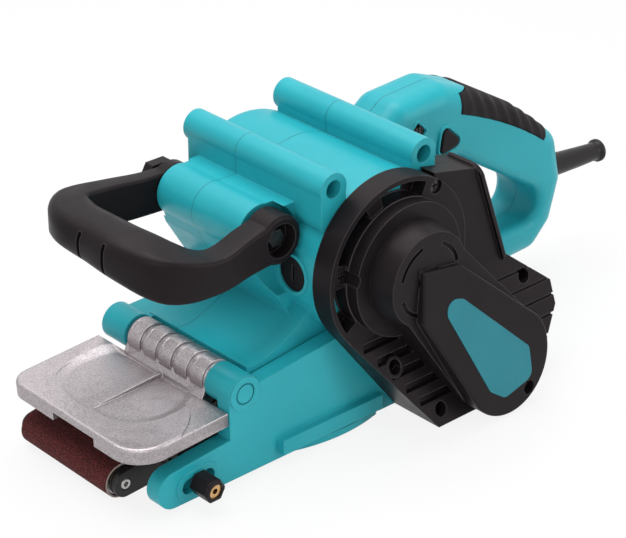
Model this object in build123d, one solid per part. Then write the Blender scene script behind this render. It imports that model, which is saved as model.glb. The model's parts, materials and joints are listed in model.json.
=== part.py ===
from build123d import *

import math
import os

# Belt sander in millimetres. +X runs to the rear handle, -Y is the drive side, +Z is up.
# The origin is the centre of the belt's flat running face.

# Sanding belt and its two rollers
BELT_LENGTH = 533.0
BELT_WIDTH = 76.0
BELT_THICK = 1.0
FRONT_R = 10.0
REAR_R = 28.5
BELT_GAP = 0.3
MEAN_SUM = FRONT_R + REAR_R - BELT_THICK
MEAN_STEP = REAR_R - FRONT_R
STRAIGHT = BELT_LENGTH - math.pi * MEAN_SUM
RUN = (STRAIGHT + math.sqrt(STRAIGHT**2 - 16 * MEAN_STEP**2)) / 4
FRONT = (-RUN / 2, FRONT_R)
REAR = (RUN / 2, REAR_R)
HALF_BELT = BELT_WIDTH / 2
ROLLER_HALF = 36.5
RUNNING_FIT = 0.05
CUT = 1.0

# Front roller, axle and yoke
FRONT_BUSH_R = 5.5
FRONT_BUSH_LENGTH = 10.0
FRONT_AXLE_R = 3.5
CHEEK_IN = 38.8
CHEEK_OUT = 43.0
CHEEK_NEAR_R = 7.6
CHEEK_FAR_R = 6.0
CHEEK_BACK = (-76.0, 12.5)
CHEEK_BACK_R = 8.5
YOKE_BAR = (-90.0, -70.0, 4.6, 18.0)
TONGUE_HALF = 12.0
TONGUE = (-71.0, -40.0, 6.0, 16.0)
TONGUE_PLAY = 0.15

# Frame inside the belt loop, platen and pad
DECK = (-58.0, 62.0, 4.0, 10.0)
DECK_HALF = 36.0
GUIDE = (-58.0, -16.0, 10.0, 19.5)
GUIDE_HALF = 18.0
GUIDE_END = -33.5
RIB_HALF = 2.0
RIB_Y = 26.0
RIB_TOP = 22.0
FLANGE_THICK = 6.0
FRAME_FLANGE = ((-58.0, 4.0), (70.0, 4.0), (70.0, 24.0), (40.0, 34.0), (-40.0, 22.0), (-58.0, 16.0))
FRAME_FLANGE_ROUND = 3.0
FRAME_ARM = (50.0, 12.0)
FRAME_ARM_R = 8.0
FRAME_EYE_R = 13.0
BRIDGE = (42.0, 58.0)
PLATEN = (-86.0, 70.0, 1.3, 2.3)
PLATEN_HALF = 37.0
FRAME_SCREWS = ((-46.0, 15.0), (-20.0, 18.0), (30.0, 24.0), (58.0, 18.0))
FRAME_SCREW_R = 2.0
FRAME_SCREW_HEAD_R = 4.0
FRAME_SCREW_HEAD = 2.6
FRAME_SCREW_GRIP = 6.0

# Tension spring and release lever
SPRING_R = 4.0
SPRING_WIRE_R = 0.6
SPRING_TURNS = 7
SPRING_AXIS_Z = 11.0
SPRING_END = -20.0
SPRING_HOLE_R = 5.4
LEVER_PIVOT = (52.0, -65.6)
LEVER_LOW = 1.5
LEVER_HIGH = 5.4
LEVER_TIP = (-6.0, -68.0)
LEVER_BOW = (30.0, -73.5)
LEVER_EYE_R = 5.0
LEVER_PIN_R = 2.5
LEVER_PIN_TOP = 12.4
LEVER_SWING = 70.0
LEVER_SLOT_LOW = 0.5
LEVER_SLOT_GAP = 0.9

# Rear drive roller, shaft and pulleys
TYRE_IN_R = 22.0
SHAFT_R = 6.0
SHAFT_NEAR = -112.0
SHAFT_FAR = 43.0
NEAR_BEARING_R = 16.0
FAR_BEARING_R = 10.0
PULLEY_NEAR = -106.0
PULLEY_FAR = -95.0
DRIVEN_R = 16.0
DRIVEN_FLANGE_R = 18.4
PULLEY_FLANGE = 1.2
MOTOR_PULLEY_R = 5.2
BAND_THICK = 1.8
BAND_GAP = 0.3
BAND_EDGE = 0.6
NUT_R = 8.5
NUT_THICK = 5.0
PULLEY_GROOVES = 4
GROOVE_DEPTH = 1.0

# Motor
MOTOR = (57.0, 101.5)
ROTOR_SHAFT_R = 4.0
ROTOR_NEAR = -106.4
ROTOR_FAR = 46.0
CORE_NEAR = -22.0
CORE_FAR = 24.0
ARMATURE_R = 24.0
ARMATURE_SLOTS = 12
ARMATURE_SLOT = (3.0, 8.0)
WINDING_R = 20.0
WINDING_LENGTH = 7.0
COMMUTATOR_R = 13.0
COMMUTATOR_HALF = 9.0
FIELD_R = 42.0
FIELD_BORE_R = 24.8
COIL_IN_R = 27.0
COIL_OUT_R = 38.0
COIL_LENGTH = 11.0
NEAR_MOTOR_BEARING = (-70.0, -63.5, 11.0)
FAR_MOTOR_BEARING = (40.0, 46.0, 9.5)
BRUSH_Y = -52.0
BRUSH_Z = 101.0
BRUSH_GAP = 0.3
BRUSH_SIZE = (6.8, 9.8)
BRUSH_LENGTH = 16.0
BRUSH_WALL = 1.2
BRUSH_HOLDER_GAP = 2.0
BRUSH_SPRING_R = 3.0
BRUSH_CAP_R = 10.5
BRUSH_CAP_OUT = 48.6
BRUSH_COLLAR_R = 12.4
BRUSH_COLLAR_OUT = 50.0
BRUSH_ACCESS_R = 13.2
BRUSH_ACCESS_OUT = 80.0
BRUSH_SLOT = (1.8, 9.6, 2.0)
FAN_NEAR = -86.0
FAN_FAR = -72.0
FAN_R = 31.0
FAN_HUB_R = 9.0
FAN_PLATE = 2.0
FAN_BLADES = 11
FAN_BLADE_THICK = 1.8
FAN_BLADE_ROOT = 8.0
FAN_BLADE_TIP = 30.0

# Housing
BARREL_R = 49.0
BARREL_NEAR = -70.0
BARREL_FAR = 50.0
BARREL_ROUND = 9.0
END_WALL_NEAR = -63.5
END_WALL_FAR = 40.0
TUBE_X = (21.6, 88.2)
TUBE_Z = 153.0
TUBE_R = 9.2
TUBE_BORE_R = 5.2
TUBE_NEAR = -69.5
TUBE_FAR = 44.5
TUBE_WEB_HALF = 8.8
TUBE_WEB_DEPTH = 26.0
TUBE_WEB_ROUND = 8.0
BOSS = (-4.0, 126.5)
BOSS_R = 15.0
BOSS_NEAR = -39.0
BOSS_FAR = 30.0
BOSS_BORE_R = 4.3
THROAT_NEAR = -48.0
THROAT_FAR = 32.0
THROAT = (
    (20.0, 140.8),
    (-3.0, 140.8),
    (-18.0, 126.0),
    (-11.8, 108.0),
    (17.0, 60.7),
    (-16.0, 49.0),
    (-17.0, 43.0),
    (40.0, 52.0),
    (57.0, 101.5),
)
WALL_NEAR = -70.0
WALL_FAR = -60.0
NOSE = (-91.5, 14.2)
NOSE_R = 11.0
NOSE_TOP_REAR = (-53.0, 28.6)
HINGE = (-42.7, 54.0)
EAR_R = 10.5
NEAR_EAR_IN = -49.5
FAR_EAR_IN = 20.0
FAR_EAR_OUT = 40.0
WALL_TOP_FRONT = (-34.0, 56.2)
WALL_TOP_REAR = (22.0, 62.3)
WALL_BACK = ((140.0, 70.0), (168.0, 52.0), (168.0, 38.0), (155.0, 18.0), (133.0, 2.7))
FAR_RIB = ((-42.7, 60.0), (-14.0, 60.5), (22.0, 90.0), (40.0, 60.0), (-16.0, 40.0), (-47.0, 46.0))
DECK_TOP = (
    (-31.6, 61.0),
    (-22.0, 60.5),
    (-10.0, 64.5),
    (4.0, 71.5),
    (15.0, 81.0),
)
DECK_FOOT = ((40.0, 80.0), (40.0, 50.0), (-31.6, 40.0))
DECK_NEAR = -59.0
DECK_FAR = 24.0
DECK_WALL = 3.6
ROOF_GAP = 4.0
ROOF_THICK = 5.0
ROOF_FRONT = -24.0
ROOF_NEAR = -61.0
ROOF_FAR = 45.0
SHROUD_LOW = 12.0
RING_BOSS_R = 10.0
RING_BOSS_OUT = -71.0
PIN_GROOVE_R = (5.4, 6.4)
PIN_GROOVE_DEEP = 1.4
RAIL = (-18.5, 56.0, 6.4, 15.6)
RAIL_OUT = -74.0
KNOB_COLLAR_OUT = -71.0
RELIEF_GAP = 1.0
RELIEF_R = 17.0
DUST_WINDOW_R = (19.0, 31.0)
DUST_WINDOW_ANGLES = (-25.0, 62.0)
AIR_R = (15.0, 33.0)
AIR_ANGLES = ((10.0, 80.0), (100.0, 170.0), (190.0, 260.0), (280.0, 350.0))

# Rear D-handle
HANDLE_HALF = 20.0
HANDLE_EDGE = 12.0
LOOP_EDGE = 6.5
HANDLE_OUTER = (
    (92.0, 132.0),
    (122.0, 154.0),
    (159.0, 156.0),
    (179.0, 148.2),
    (221.0, 123.5),
    (257.5, 95.5),
    (264.0, 66.0),
    (256.0, 37.5),
    (240.0, 22.0),
    (134.0, 17.0),
    (92.0, 60.0),
)
HANDLE_OUTER_ROUND = 13.0
HANDLE_LOOP = (
    (148.0, 44.0),
    (148.0, 98.0),
    (163.0, 112.0),
    (240.0, 64.0),
    (240.0, 44.0),
)
HANDLE_LOOP_ROUND = 12.0
HANDLE_WALL = 5.0
THROAT_WALL = 4.0
PAD_THICK = 2.4
PAD_PROUD = 0.8
PAD_LINE = ((168.0, 136.5), (204.0, 120.5), (242.0, 97.0))
PAD_TOP = ((171.0, 170.0), (264.0, 112.0))
SLEEVE_ROOT = (254.0, 66.0)
SLEEVE_STEPS = ((0.0, 7.6), (16.0, 7.6), (18.0, 7.4), (44.0, 6.4), (58.0, 5.8), (59.6, 7.4), (62.6, 7.4))
SLEEVE_DROOP = 5.5
SLEEVE_BORE_R = 3.6

# Controls
GRIP_LINE = ((163.0, 112.0), (240.0, 64.0))
TRIGGER_START = 6.0
TRIGGER_END = 31.0
TRIGGER_OUT = 13.0
TRIGGER_MIDDLE_OUT = 9.0
TRIGGER_END_OUT = 10.5
TRIGGER_ROUND = 1.5
TRIGGER_IN = 6.0
TRIGGER_HALF = 7.5
TRIGGER_TRAVEL = 6.0
TRIGGER_PLAY = 0.35
LOCK_OUTLINE = ((153.0, 134.0), (169.0, 119.5), (150.0, 115.5))
LOCK_ROUND = 3.0
LOCK_EDGE = 1.0
LOCK_OUT = -22.0
LOCK_IN = -16.5
LOCK_TRAVEL = 2.5
LOCK_PLAY = 0.35
DIAL = (132.6, -10.0, 135.0)
DIAL_R = 10.6
DIAL_HALF = 3.5
DIAL_TEETH = 24
DIAL_NOTCH_R = 0.7
DIAL_PLAY = 0.4
DIAL_WINDOW = 9.0
DIAL_WINDOW_DEPTH = 5.0
SWITCH = (146.0, 173.0, 128.0, 147.0)
SWITCH_HALF = 10.5

# Fan cover with its vents, grille and dust outlet
FLANGE_R = 51.0
FLANGE_NEAR = -84.0
FLANGE_FAR = -70.0
RECESS_R = (39.5, 48.0)
RECESS_ANGLES = (66.0, 217.0)
RECESS_FLOOR = -75.0
VENT_R = (40.2, 47.2)
VENT_ANGLES = ((77.0, 105.0), (123.0, 160.0), (183.0, 209.0))
DOME_R = 39.0
DOME_NEAR = -92.0
FAN_ROOM_R = 33.0
FAN_ROOM_NEAR = -88.0
SCROLL_R = 48.0
SCROLL_ANGLES = (-62.0, 60.0)
SCROLL_NEAR = -81.0
ROTOR_HOLE_R = 7.0
ARM_END = (112.5, 33.0)
TAIL_OUTLINE = (
    (16.4, 70.6),
    (69.0, 3.0),
    (138.0, 3.0),
    (160.0, 17.0),
    (176.0, 38.0),
    (176.0, 52.0),
    (146.0, 76.0),
    (97.6, 132.4),
    (57.0, 101.5),
)
TAIL_LOW = 3.0
TAIL_FOOT = -106.0
TAIL_SLOPE = 0.36
TAIL_REACH = 200.0
COVER_WALL = 3.0
POCKET_MOTOR_R = 8.2
POCKET_DRIVEN_R = 20.0
POCKET_FLOOR = -93.4
POCKET_WALL = 2.5
SHAFT_HOLE_R = 8.0
DUCT_NEAR = -80.0
DUCT_FAR = -56.0
DUCT_BACK = ((86.0, 146.0), (108.0, 74.0))
DUCT_MOUTH = ((121.6, 138.0), (144.6, 74.0))
DUCT_WALL = 2.2
DUCT_RIM = 2.6
DUCT_RIM_THICK = 2.2
DUCT_RIM_ROUND = 7.0
DUCT_CLEAR = 0.6
LOUVRES = 5
LOUVRE_LOW = 17.8
LOUVRE_PITCH = 9.8
LOUVRE_HIGH = 4.8
LOUVRE_LEFT = (73.4, 0.778)
LOUVRE_RIGHT = (99.0, 0.761)
STEPS = (62.8, 52.4, 43.0, 32.8, 22.6)
STEP_HIGH = 1.6
STEP_DEEP = 1.7
STEP_FRONT = 100.0

# Drive cover
HUB_R = 27.4
HUB_FOOT_R = 30.0
HUB_NEAR = -107.5
HUB_GROOVE_R = (19.8, 22.2)
HUB_GROOVE_ANGLES = ((12.0, 66.0), (105.0, 166.0), (200.0, 252.0))
HUB_GROOVE_DEEP = 2.0
SKIRT_MOTOR_R = 25.5
SKIRT_END_R = 32.0
ARM_FOOT = -120.0
ARM_SLOPE = 0.091
ARM_TOP = ((49.5, 109.0), (78.0, 104.5))
ARM_LEFT = (47.8, 78.8)
ARM_WALL = 3.0
ARM_ROUND = 1.2
BADGE = (
    (66.5, 88.0),
    (78.0, 84.5),
    (128.5, 37.5),
    (130.5, 18.0),
    (108.0, 12.5),
    (96.5, 20.5),
    (65.5, 78.0),
)
BADGE_ROUND = 6.0
BADGE_THICK = 1.5
BADGE_SINK = 1.2

# Screws
COVER_SCREW_R = 2.0
COVER_SCREW_HEAD_R = 4.2
COVER_SCREW_HEAD = 3.0
COVER_SCREW_BITE = -65.0
COVER_POST_R = 6.4
FLANGE_SCREWS = ((84.1, 139.6), (16.3, 107.5))
FLANGE_SCREW_SEAT = -79.0
FLANGE_PADS = ((107.0, 121.0), (163.0, 180.0))
FLANGE_PAD = -82.6
TAIL_SCREWS = ((48.0, 44.0), (73.3, 12.0), (156.0, 60.0))
TAIL_SCREW_SEAT = -76.0
ARM_SCREW = (127.7, 11.7)
ARM_SCREW_SEAT = -112.0
ARM_SCREW_TIP = -97.0
CROSS = (0.9, 4.6, 1.4)
HOUSING_SCREWS = (
    (112.0, 136.0),
    (140.0, 112.0),
    (250.0, 82.0),
    (243.0, 38.0),
    (160.0, 30.0),
    (186.0, 116.0),
)
HOUSING_SCREW_R = 1.8
HOUSING_SCREW_HEAD_R = 3.6
HOUSING_SCREW_HEAD = 2.4
HOUSING_SCREW_SEAT = 14.0
HOUSING_SCREW_TIP = -12.0
HOUSING_POST_R = 5.5

# Front lid
LID_FRONT = -116.0
LID_REAR = -54.0
LID_NEAR = -69.5
LID_FAR = 44.0
LID_TOP_REAR = 46.8
LID_TOP_FRONT = 43.2
LID_THICK = 9.0
LID_SKIN = 3.6
LID_WALL = 3.2
LID_NEAR_ROUND = 20.0
LID_EDGE = 2.0
LID_FAR_ROUND = 12.0
LID_NOTCH = (-33.0, 3.0)
LID_NOTCH_RISE = 5.0
BARREL_LID_R = 9.6
LID_BARREL_NEAR = -48.8
LID_BARREL_FAR = 19.3
LID_PIN_R = 4.0
LID_PIN_NEAR = -66.0
LID_NECK = ((-54.6, 45.6), (-49.6, 55.0), (-42.7, 62.0), (-36.0, 48.0), (-52.0, 39.0))
LID_BANDS = 5
LID_BAND_PITCH = 13.4
LID_BAND_WIDTH = 10.6
LID_BAND_HIGH = 0.8
LID_BAND_EDGE = 0.7
LID_BAND_POCKET = (7.4, 6.4, 1.2)
LID_BAND_POCKET_ANGLE = 122.0
# Dishes on the lid's face, in its own plane: x from the rear edge, y as in the part
DISH_DEEP = 1.0
DISH_RISE = 1.0
FAR_DISH = ((0.0, 16.5), (-12.0, 27.0), (-20.0, 30.4), (-30.0, 31.0), (-41.0, 27.0), (-47.0, 10.0))
NEAR_DISH = ((-5.0, -22.0), (-11.0, -34.0), (-17.0, -41.0), (-25.0, -46.0), (-33.0, -46.6), (-47.0, -24.0))
CORNER_STEP = ((0.0, -35.0), (-8.7, -43.7), (-13.8, -54.9), (-21.8, -62.8), (-34.0, -70.0))
CORNER_DEEP = 1.1
RIDGE = (-43.0, -0.5, -14.8, -12.6)
RIDGE_PROUD = 0.6

# Front handle
H_NEAR = -57.0
H_ARM_IN_NEAR = -40.0
H_ARM_IN_FAR = 31.0
H_FAR = 40.0
H_RING_R = 14.2
H_RING_ROUND = 2.0
# Sections from the near arm round the bar to the far arm: x, y, z, heading, width, height, corner
H_SECTIONS = (
    (-6.0, -48.5, 126.5, 180.0, 17.0, 25.0, 6.0),
    (-24.0, -48.8, 123.5, 180.0, 17.0, 22.0, 7.0),
    (-46.0, -49.5, 120.0, 176.0, 18.0, 20.0, 8.0),
    (-68.0, -43.0, 124.0, 130.0, 25.0, 26.0, 10.0),
    (-77.0, -22.0, 129.3, 92.0, 30.0, 25.4, 11.0),
    (-78.5, 2.0, 131.0, 92.0, 30.0, 23.5, 10.5),
    (-79.0, 24.0, 132.6, 88.0, 29.0, 20.0, 9.5),
    (-69.0, 39.0, 131.2, 30.0, 19.0, 22.0, 7.0),
    (-46.0, 38.5, 128.5, 355.0, 13.0, 24.0, 5.0),
    (-24.0, 36.5, 127.0, 356.0, 11.5, 23.0, 5.0),
    (-6.0, 35.5, 126.5, 360.0, 9.0, 24.0, 4.0),
)
H_SLOTS = (-16.8, 2.9)
H_SLOT_WIDTH = 2.4
H_SLOT_TOP = 139.0
H_SLOT_FRONT = -100.0
H_SLOT_FLOOR = -89.5
H_RECESS_R = 9.8
H_RECESS = 8.0
BOLT_R = 4.0
BOLT_HEX_R = 5.4
BOLT_HEAD = 3.6
BOLT_FAR = 51.0
KNOB_NEAR = 40.4
KNOB_FAR = 52.0
KNOB_R = 10.0
KNOB_LOBES = 5
KNOB_LOBE_R = 3.8
KNOB_NECK_R = 7.4
KNOB_NECK = 3.0

# Tracking knob
TRACK = (-76.0, 13.7)
TRACK_NEAR = -85.5
TRACK_FAR = -71.8
TRACK_HEX_R = 7.2
TRACK_HEX_ROUND = 1.6
TRACK_SLOT = (22.0, 9.0)
TRACK_SLOT_RIM = 3.5
TRACK_SLOT_FLOOR = -66.0
TRACK_CHAMFER = 1.2
INSERT_R = 4.2
INSERT_HOLE_R = 1.6
INSERT_LENGTH = 8.0
INSERT_SINK = 1.0
TRACK_SCREW_R = 2.5
TRACK_SCREW_TIP = -43.4


def outline(points, radius=0.0):
    """A closed face through the points, its corners rounded."""
    face = make_face(Polyline(*points, close=True))
    return fillet(face.vertices(), radius) if radius else face


def y_prism(profile, near, far):
    """Extrudes a face drawn in X and Z from y = near to y = far."""
    return Pos(0, far, 0) * extrude(Plane.XZ * profile, amount=far - near)


def z_prism(profile, low, high):
    """Extrudes a face drawn in X and Y from z = low to z = high."""
    return Pos(0, 0, low) * extrude(profile, amount=high - low)


def y_rod(centre, radius, near, far):
    return y_prism(Pos(*centre) * Circle(radius), near, far)


def y_ring(centre, outer, inner, near, far):
    return y_prism(Pos(*centre) * (Circle(outer) - Circle(inner)), near, far)


def x_rod(y, z, radius, low, high):
    return Pos((low + high) / 2, y, z) * Rot(0, 90, 0) * Cylinder(radius, high - low)


def block(x, y, z):
    """A box from three pairs of limits."""
    size = [pair[1] - pair[0] for pair in (x, y, z)]
    middle = [(pair[0] + pair[1]) / 2 for pair in (x, y, z)]
    return Pos(*middle) * Box(*size)


def polar(centre, radius, angle):
    """The point at that angle, in radians, on a circle in X and Z."""
    return (centre[0] + radius * math.cos(angle), centre[1] + radius * math.sin(angle))


def stretched(a, ra, b, rb):
    """The outline of a band stretched over two round ends."""
    along = math.atan2(b[1] - a[1], b[0] - a[0])
    lean = math.acos((ra - rb) / math.dist(a, b))
    up = along + lean
    down = along - lean
    return make_face(
        [
            Line(polar(a, ra, up), polar(b, rb, up)),
            ThreePointArc(polar(b, rb, up), polar(b, rb, along), polar(b, rb, down)),
            Line(polar(b, rb, down), polar(a, ra, down)),
            ThreePointArc(polar(a, ra, down), polar(a, ra, along + math.pi), polar(a, ra, up)),
        ]
    )


def loop_around(offset):
    """The belt loop's outline, moved out from the belt's outside by the offset."""
    return stretched(FRONT, FRONT_R + offset, REAR, REAR_R + offset)


def sector(centre, inner, outer, start, end):
    """A ring sector in X and Z, its angles in degrees."""
    angles = [math.radians(angle) for angle in (start, (start + end) / 2, end)]
    outside = [polar(centre, outer, angle) for angle in angles]
    inside = [polar(centre, inner, angle) for angle in angles]
    return make_face(
        [
            ThreePointArc(*outside),
            Line(outside[-1], inside[-1]),
            ThreePointArc(*reversed(inside)),
            Line(inside[0], outside[0]),
        ]
    )


def hexagon_rod(centre, radius, near, far, rounding=0.0):
    face = RegularPolygon(radius, 6)
    if rounding:
        face = fillet(face.vertices(), rounding)
    return y_prism(Pos(*centre) * face, near, far)


# Belt deck


def sanding_belt():
    band = loop_around(0) - loop_around(-BELT_THICK)
    return y_prism(band, -HALF_BELT, HALF_BELT)


def front_roller():
    radius = FRONT_R - BELT_THICK - BELT_GAP
    return y_ring(FRONT, radius, FRONT_BUSH_R, -ROLLER_HALF, ROLLER_HALF)


def front_bushes():
    near_end = -ROLLER_HALF + FRONT_BUSH_LENGTH
    bore = FRONT_AXLE_R + RUNNING_FIT
    near = y_ring(FRONT, FRONT_BUSH_R, bore, -ROLLER_HALF, near_end)
    far = y_ring(FRONT, FRONT_BUSH_R, bore, -near_end, ROLLER_HALF)
    return Compound(children=[near.solid(), far.solid()])


def front_axle():
    return y_rod(FRONT, FRONT_AXLE_R, -CHEEK_OUT, CHEEK_OUT)


def roller_yoke():
    near = stretched(FRONT, CHEEK_NEAR_R, CHEEK_BACK, CHEEK_BACK_R)
    far = stretched(FRONT, CHEEK_FAR_R, CHEEK_BACK, CHEEK_BACK_R)
    yoke = y_prism(near, -CHEEK_OUT, -CHEEK_IN) + y_prism(far, CHEEK_IN, CHEEK_OUT)
    yoke -= y_rod(FRONT, FRONT_AXLE_R, -CHEEK_OUT, CHEEK_OUT)
    yoke += block(YOKE_BAR[:2], (-CHEEK_OUT, CHEEK_OUT), YOKE_BAR[2:])
    yoke += block(TONGUE[:2], (-TONGUE_HALF, TONGUE_HALF), TONGUE[2:])
    return yoke


def biarc(start, start_way, end, end_way):
    """Two arcs from one point to another that leave and arrive along the given unit directions."""
    gap = end - start
    spread = 2 * (1 - start_way.dot(end_way))
    along = gap.dot(start_way + end_way)
    reach = (math.sqrt(along**2 + spread * gap.dot(gap)) - along) / spread
    joint = (start + end + (start_way - end_way) * reach) / 2
    way = (end - end_way * reach) - (start + start_way * reach)
    return [TangentArc(start, joint, tangent=start_way), TangentArc(joint, end, tangent=way)]


def coil(radius, pitch, turns):
    """A coil along Z as one smooth line of arcs, a pair of them for each quarter turn."""
    rise = pitch / math.tau
    arcs = []
    for quarter in range(4 * turns):
        ends = []
        for angle in (quarter * math.pi / 2, (quarter + 1) * math.pi / 2):
            ends.append(Vector(radius * math.cos(angle), radius * math.sin(angle), rise * angle))
            ends.append(Vector(-radius * math.sin(angle), radius * math.cos(angle), rise).normalized())
        arcs += biarc(*ends)
    return Wire(arcs)


def tension_spring():
    start = TONGUE[1] + SPRING_WIRE_R
    pitch = (SPRING_END - SPRING_WIRE_R - start) / SPRING_TURNS
    path = coil(SPRING_R, pitch, SPRING_TURNS)
    print("tension spring: gap between turns", round(pitch - 2 * SPRING_WIRE_R, 2), "mm")
    wire = sweep(Plane(path @ 0, z_dir=path % 0) * Circle(SPRING_WIRE_R), path=path)
    return Pos(start, 0, SPRING_AXIS_Z) * Rot(0, 90, 0) * wire


def belt_frame():
    frame = block(DECK[:2], (WALL_FAR, DECK_HALF), DECK[2:])
    frame += y_prism(outline(FRAME_FLANGE, FRAME_FLANGE_ROUND), WALL_FAR, WALL_FAR + FLANGE_THICK)
    frame += block(GUIDE[:2], (-GUIDE_HALF, GUIDE_HALF), GUIDE[2:])
    for y in (-RIB_Y, RIB_Y):
        frame += block(DECK[:2], (y - RIB_HALF, y + RIB_HALF), (DECK[3], RIB_TOP))
    frame += block(BRIDGE, (DECK_HALF, CHEEK_OUT), DECK[2:])
    arm = stretched(FRAME_ARM, FRAME_ARM_R, REAR, FRAME_EYE_R) - Pos(*REAR) * Circle(FAR_BEARING_R)
    frame += y_prism(arm, CHEEK_IN, CHEEK_OUT)
    slot_half = TONGUE_HALF + TONGUE_PLAY
    slot = (TONGUE[2] - TONGUE_PLAY, TONGUE[3] + TONGUE_PLAY)
    frame -= block((DECK[0] - TONGUE_PLAY, GUIDE_END), (-slot_half, slot_half), slot)
    frame -= x_rod(0, SPRING_AXIS_Z, SPRING_HOLE_R, GUIDE_END - TONGUE_PLAY, SPRING_END)
    for place in FRAME_SCREWS:
        frame -= y_rod(place, FRAME_SCREW_R, WALL_FAR, WALL_FAR + FLANGE_THICK)
    return frame


def frame_screws():
    screws = []
    head = WALL_FAR + FLANGE_THICK
    for place in FRAME_SCREWS:
        screw = y_rod(place, FRAME_SCREW_R, WALL_FAR - FRAME_SCREW_GRIP, head)
        screw += y_rod(place, FRAME_SCREW_HEAD_R, head, head + FRAME_SCREW_HEAD)
        screws.append(screw.solid())
    return Compound(children=screws)


def platen():
    return block(PLATEN[:2], (-PLATEN_HALF, PLATEN_HALF), PLATEN[2:])


def platen_pad():
    return block(DECK[:2], (-DECK_HALF, DECK_HALF), (PLATEN[3], DECK[2]))


def lever_plan(grow):
    """The lever's plan outline, drawn in X and Y: a bowed, tapering finger with a round eye."""
    x, y = LEVER_PIVOT
    reach = LEVER_EYE_R + grow
    tip = (LEVER_TIP[0] - grow, LEVER_TIP[1])
    bow = (LEVER_BOW[0], LEVER_BOW[1] - grow)
    inner = Polyline(tip, (x, y + reach), (x, y - reach))
    finger = make_face([inner, ThreePointArc((x, y - reach), bow, tip)])
    return Pos(x, y) * Circle(reach) + finger


def lever_swung(angle):
    """The room the lever needs when it is swung out by that angle."""
    x, y = LEVER_PIVOT
    return Pos(x, y) * Rot(0, 0, angle) * Pos(-x, -y) * lever_plan(LEVER_SLOT_GAP)


def tension_lever():
    hole = Pos(*LEVER_PIVOT) * Circle(LEVER_PIN_R + RUNNING_FIT)
    return z_prism(lever_plan(0.0) - hole, LEVER_LOW, LEVER_HIGH)


def lever_pin():
    return z_prism(Pos(*LEVER_PIVOT) * Circle(LEVER_PIN_R), LEVER_LOW, LEVER_PIN_TOP)


def drive_roller():
    return y_ring(REAR, TYRE_IN_R, SHAFT_R, -ROLLER_HALF, ROLLER_HALF)


def drive_tyre():
    return y_ring(REAR, REAR_R - BELT_THICK - BELT_GAP, TYRE_IN_R, -ROLLER_HALF, ROLLER_HALF)


def drive_shaft():
    return y_rod(REAR, SHAFT_R, SHAFT_NEAR, SHAFT_FAR)


def shaft_bearings():
    near = y_ring(REAR, NEAR_BEARING_R, SHAFT_R + RUNNING_FIT, WALL_NEAR, WALL_FAR)
    far = y_ring(REAR, FAR_BEARING_R, SHAFT_R + RUNNING_FIT, CHEEK_IN, CHEEK_OUT)
    return Compound(children=[near.solid(), far.solid()])


# Drive train


def grooved(centre, radius, bore):
    """A pulley with round grooves, turned about Y."""
    pulley = y_ring(centre, radius, bore, PULLEY_NEAR, PULLEY_FAR)
    pitch = (PULLEY_FAR - PULLEY_NEAR) / (PULLEY_GROOVES + 1)
    for i in range(PULLEY_GROOVES):
        middle = PULLEY_NEAR + pitch * (i + 1)
        floor = radius - GROOVE_DEPTH
        pulley -= y_ring(centre, radius + CUT, floor, middle - pitch / 4, middle + pitch / 4)
    return pulley


def driven_pulley():
    flange = y_ring(REAR, DRIVEN_FLANGE_R, SHAFT_R, PULLEY_FAR, PULLEY_FAR + PULLEY_FLANGE)
    return grooved(REAR, DRIVEN_R, SHAFT_R) + flange


def motor_pulley():
    return grooved(MOTOR, MOTOR_PULLEY_R, ROTOR_SHAFT_R)


def shaft_nut():
    nut = hexagon_rod(REAR, NUT_R, PULLEY_NEAR - NUT_THICK, PULLEY_NEAR)
    return nut - y_rod(REAR, SHAFT_R, PULLEY_NEAR - NUT_THICK, PULLEY_NEAR)


def drive_belt():
    inner = stretched(MOTOR, MOTOR_PULLEY_R + BAND_GAP, REAR, DRIVEN_R + BAND_GAP)
    outer = stretched(MOTOR, MOTOR_PULLEY_R + BAND_GAP + BAND_THICK, REAR, DRIVEN_R + BAND_GAP + BAND_THICK)
    return y_prism(outer - inner, PULLEY_NEAR + BAND_EDGE, PULLEY_FAR - BAND_EDGE)


# Motor


def rotor_shaft():
    return y_rod(MOTOR, ROTOR_SHAFT_R, ROTOR_NEAR, ROTOR_FAR)


def armature():
    face = Circle(ARMATURE_R) - Circle(ROTOR_SHAFT_R)
    slot = Pos(ARMATURE_R, 0) * Rectangle(2 * ARMATURE_SLOT[1], ARMATURE_SLOT[0])
    for place in PolarLocations(0, ARMATURE_SLOTS):
        face -= place * slot
    return y_prism(Pos(*MOTOR) * face, CORE_NEAR, CORE_FAR)


def armature_winding():
    near = y_ring(MOTOR, WINDING_R, ROTOR_SHAFT_R, CORE_NEAR - WINDING_LENGTH, CORE_NEAR)
    far = y_ring(MOTOR, WINDING_R, ROTOR_SHAFT_R, CORE_FAR, CORE_FAR + WINDING_LENGTH)
    return Compound(children=[near.solid(), far.solid()])


def commutator():
    return y_ring(MOTOR, COMMUTATOR_R, ROTOR_SHAFT_R, BRUSH_Y - COMMUTATOR_HALF, BRUSH_Y + COMMUTATOR_HALF)


def fan():
    wheel = y_ring(MOTOR, FAN_R, ROTOR_SHAFT_R, FAN_FAR - FAN_PLATE, FAN_FAR)
    wheel += y_ring(MOTOR, FAN_HUB_R, ROTOR_SHAFT_R, FAN_NEAR, FAN_FAR)
    middle = (FAN_BLADE_ROOT + FAN_BLADE_TIP) / 2
    blade = Pos(middle, 0) * Rectangle(FAN_BLADE_TIP - FAN_BLADE_ROOT, FAN_BLADE_THICK)
    blades = Sketch() + [place * blade for place in PolarLocations(0, FAN_BLADES)]
    return wheel + y_prism(Pos(*MOTOR) * blades, FAN_NEAR, FAN_FAR - FAN_PLATE)


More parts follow.
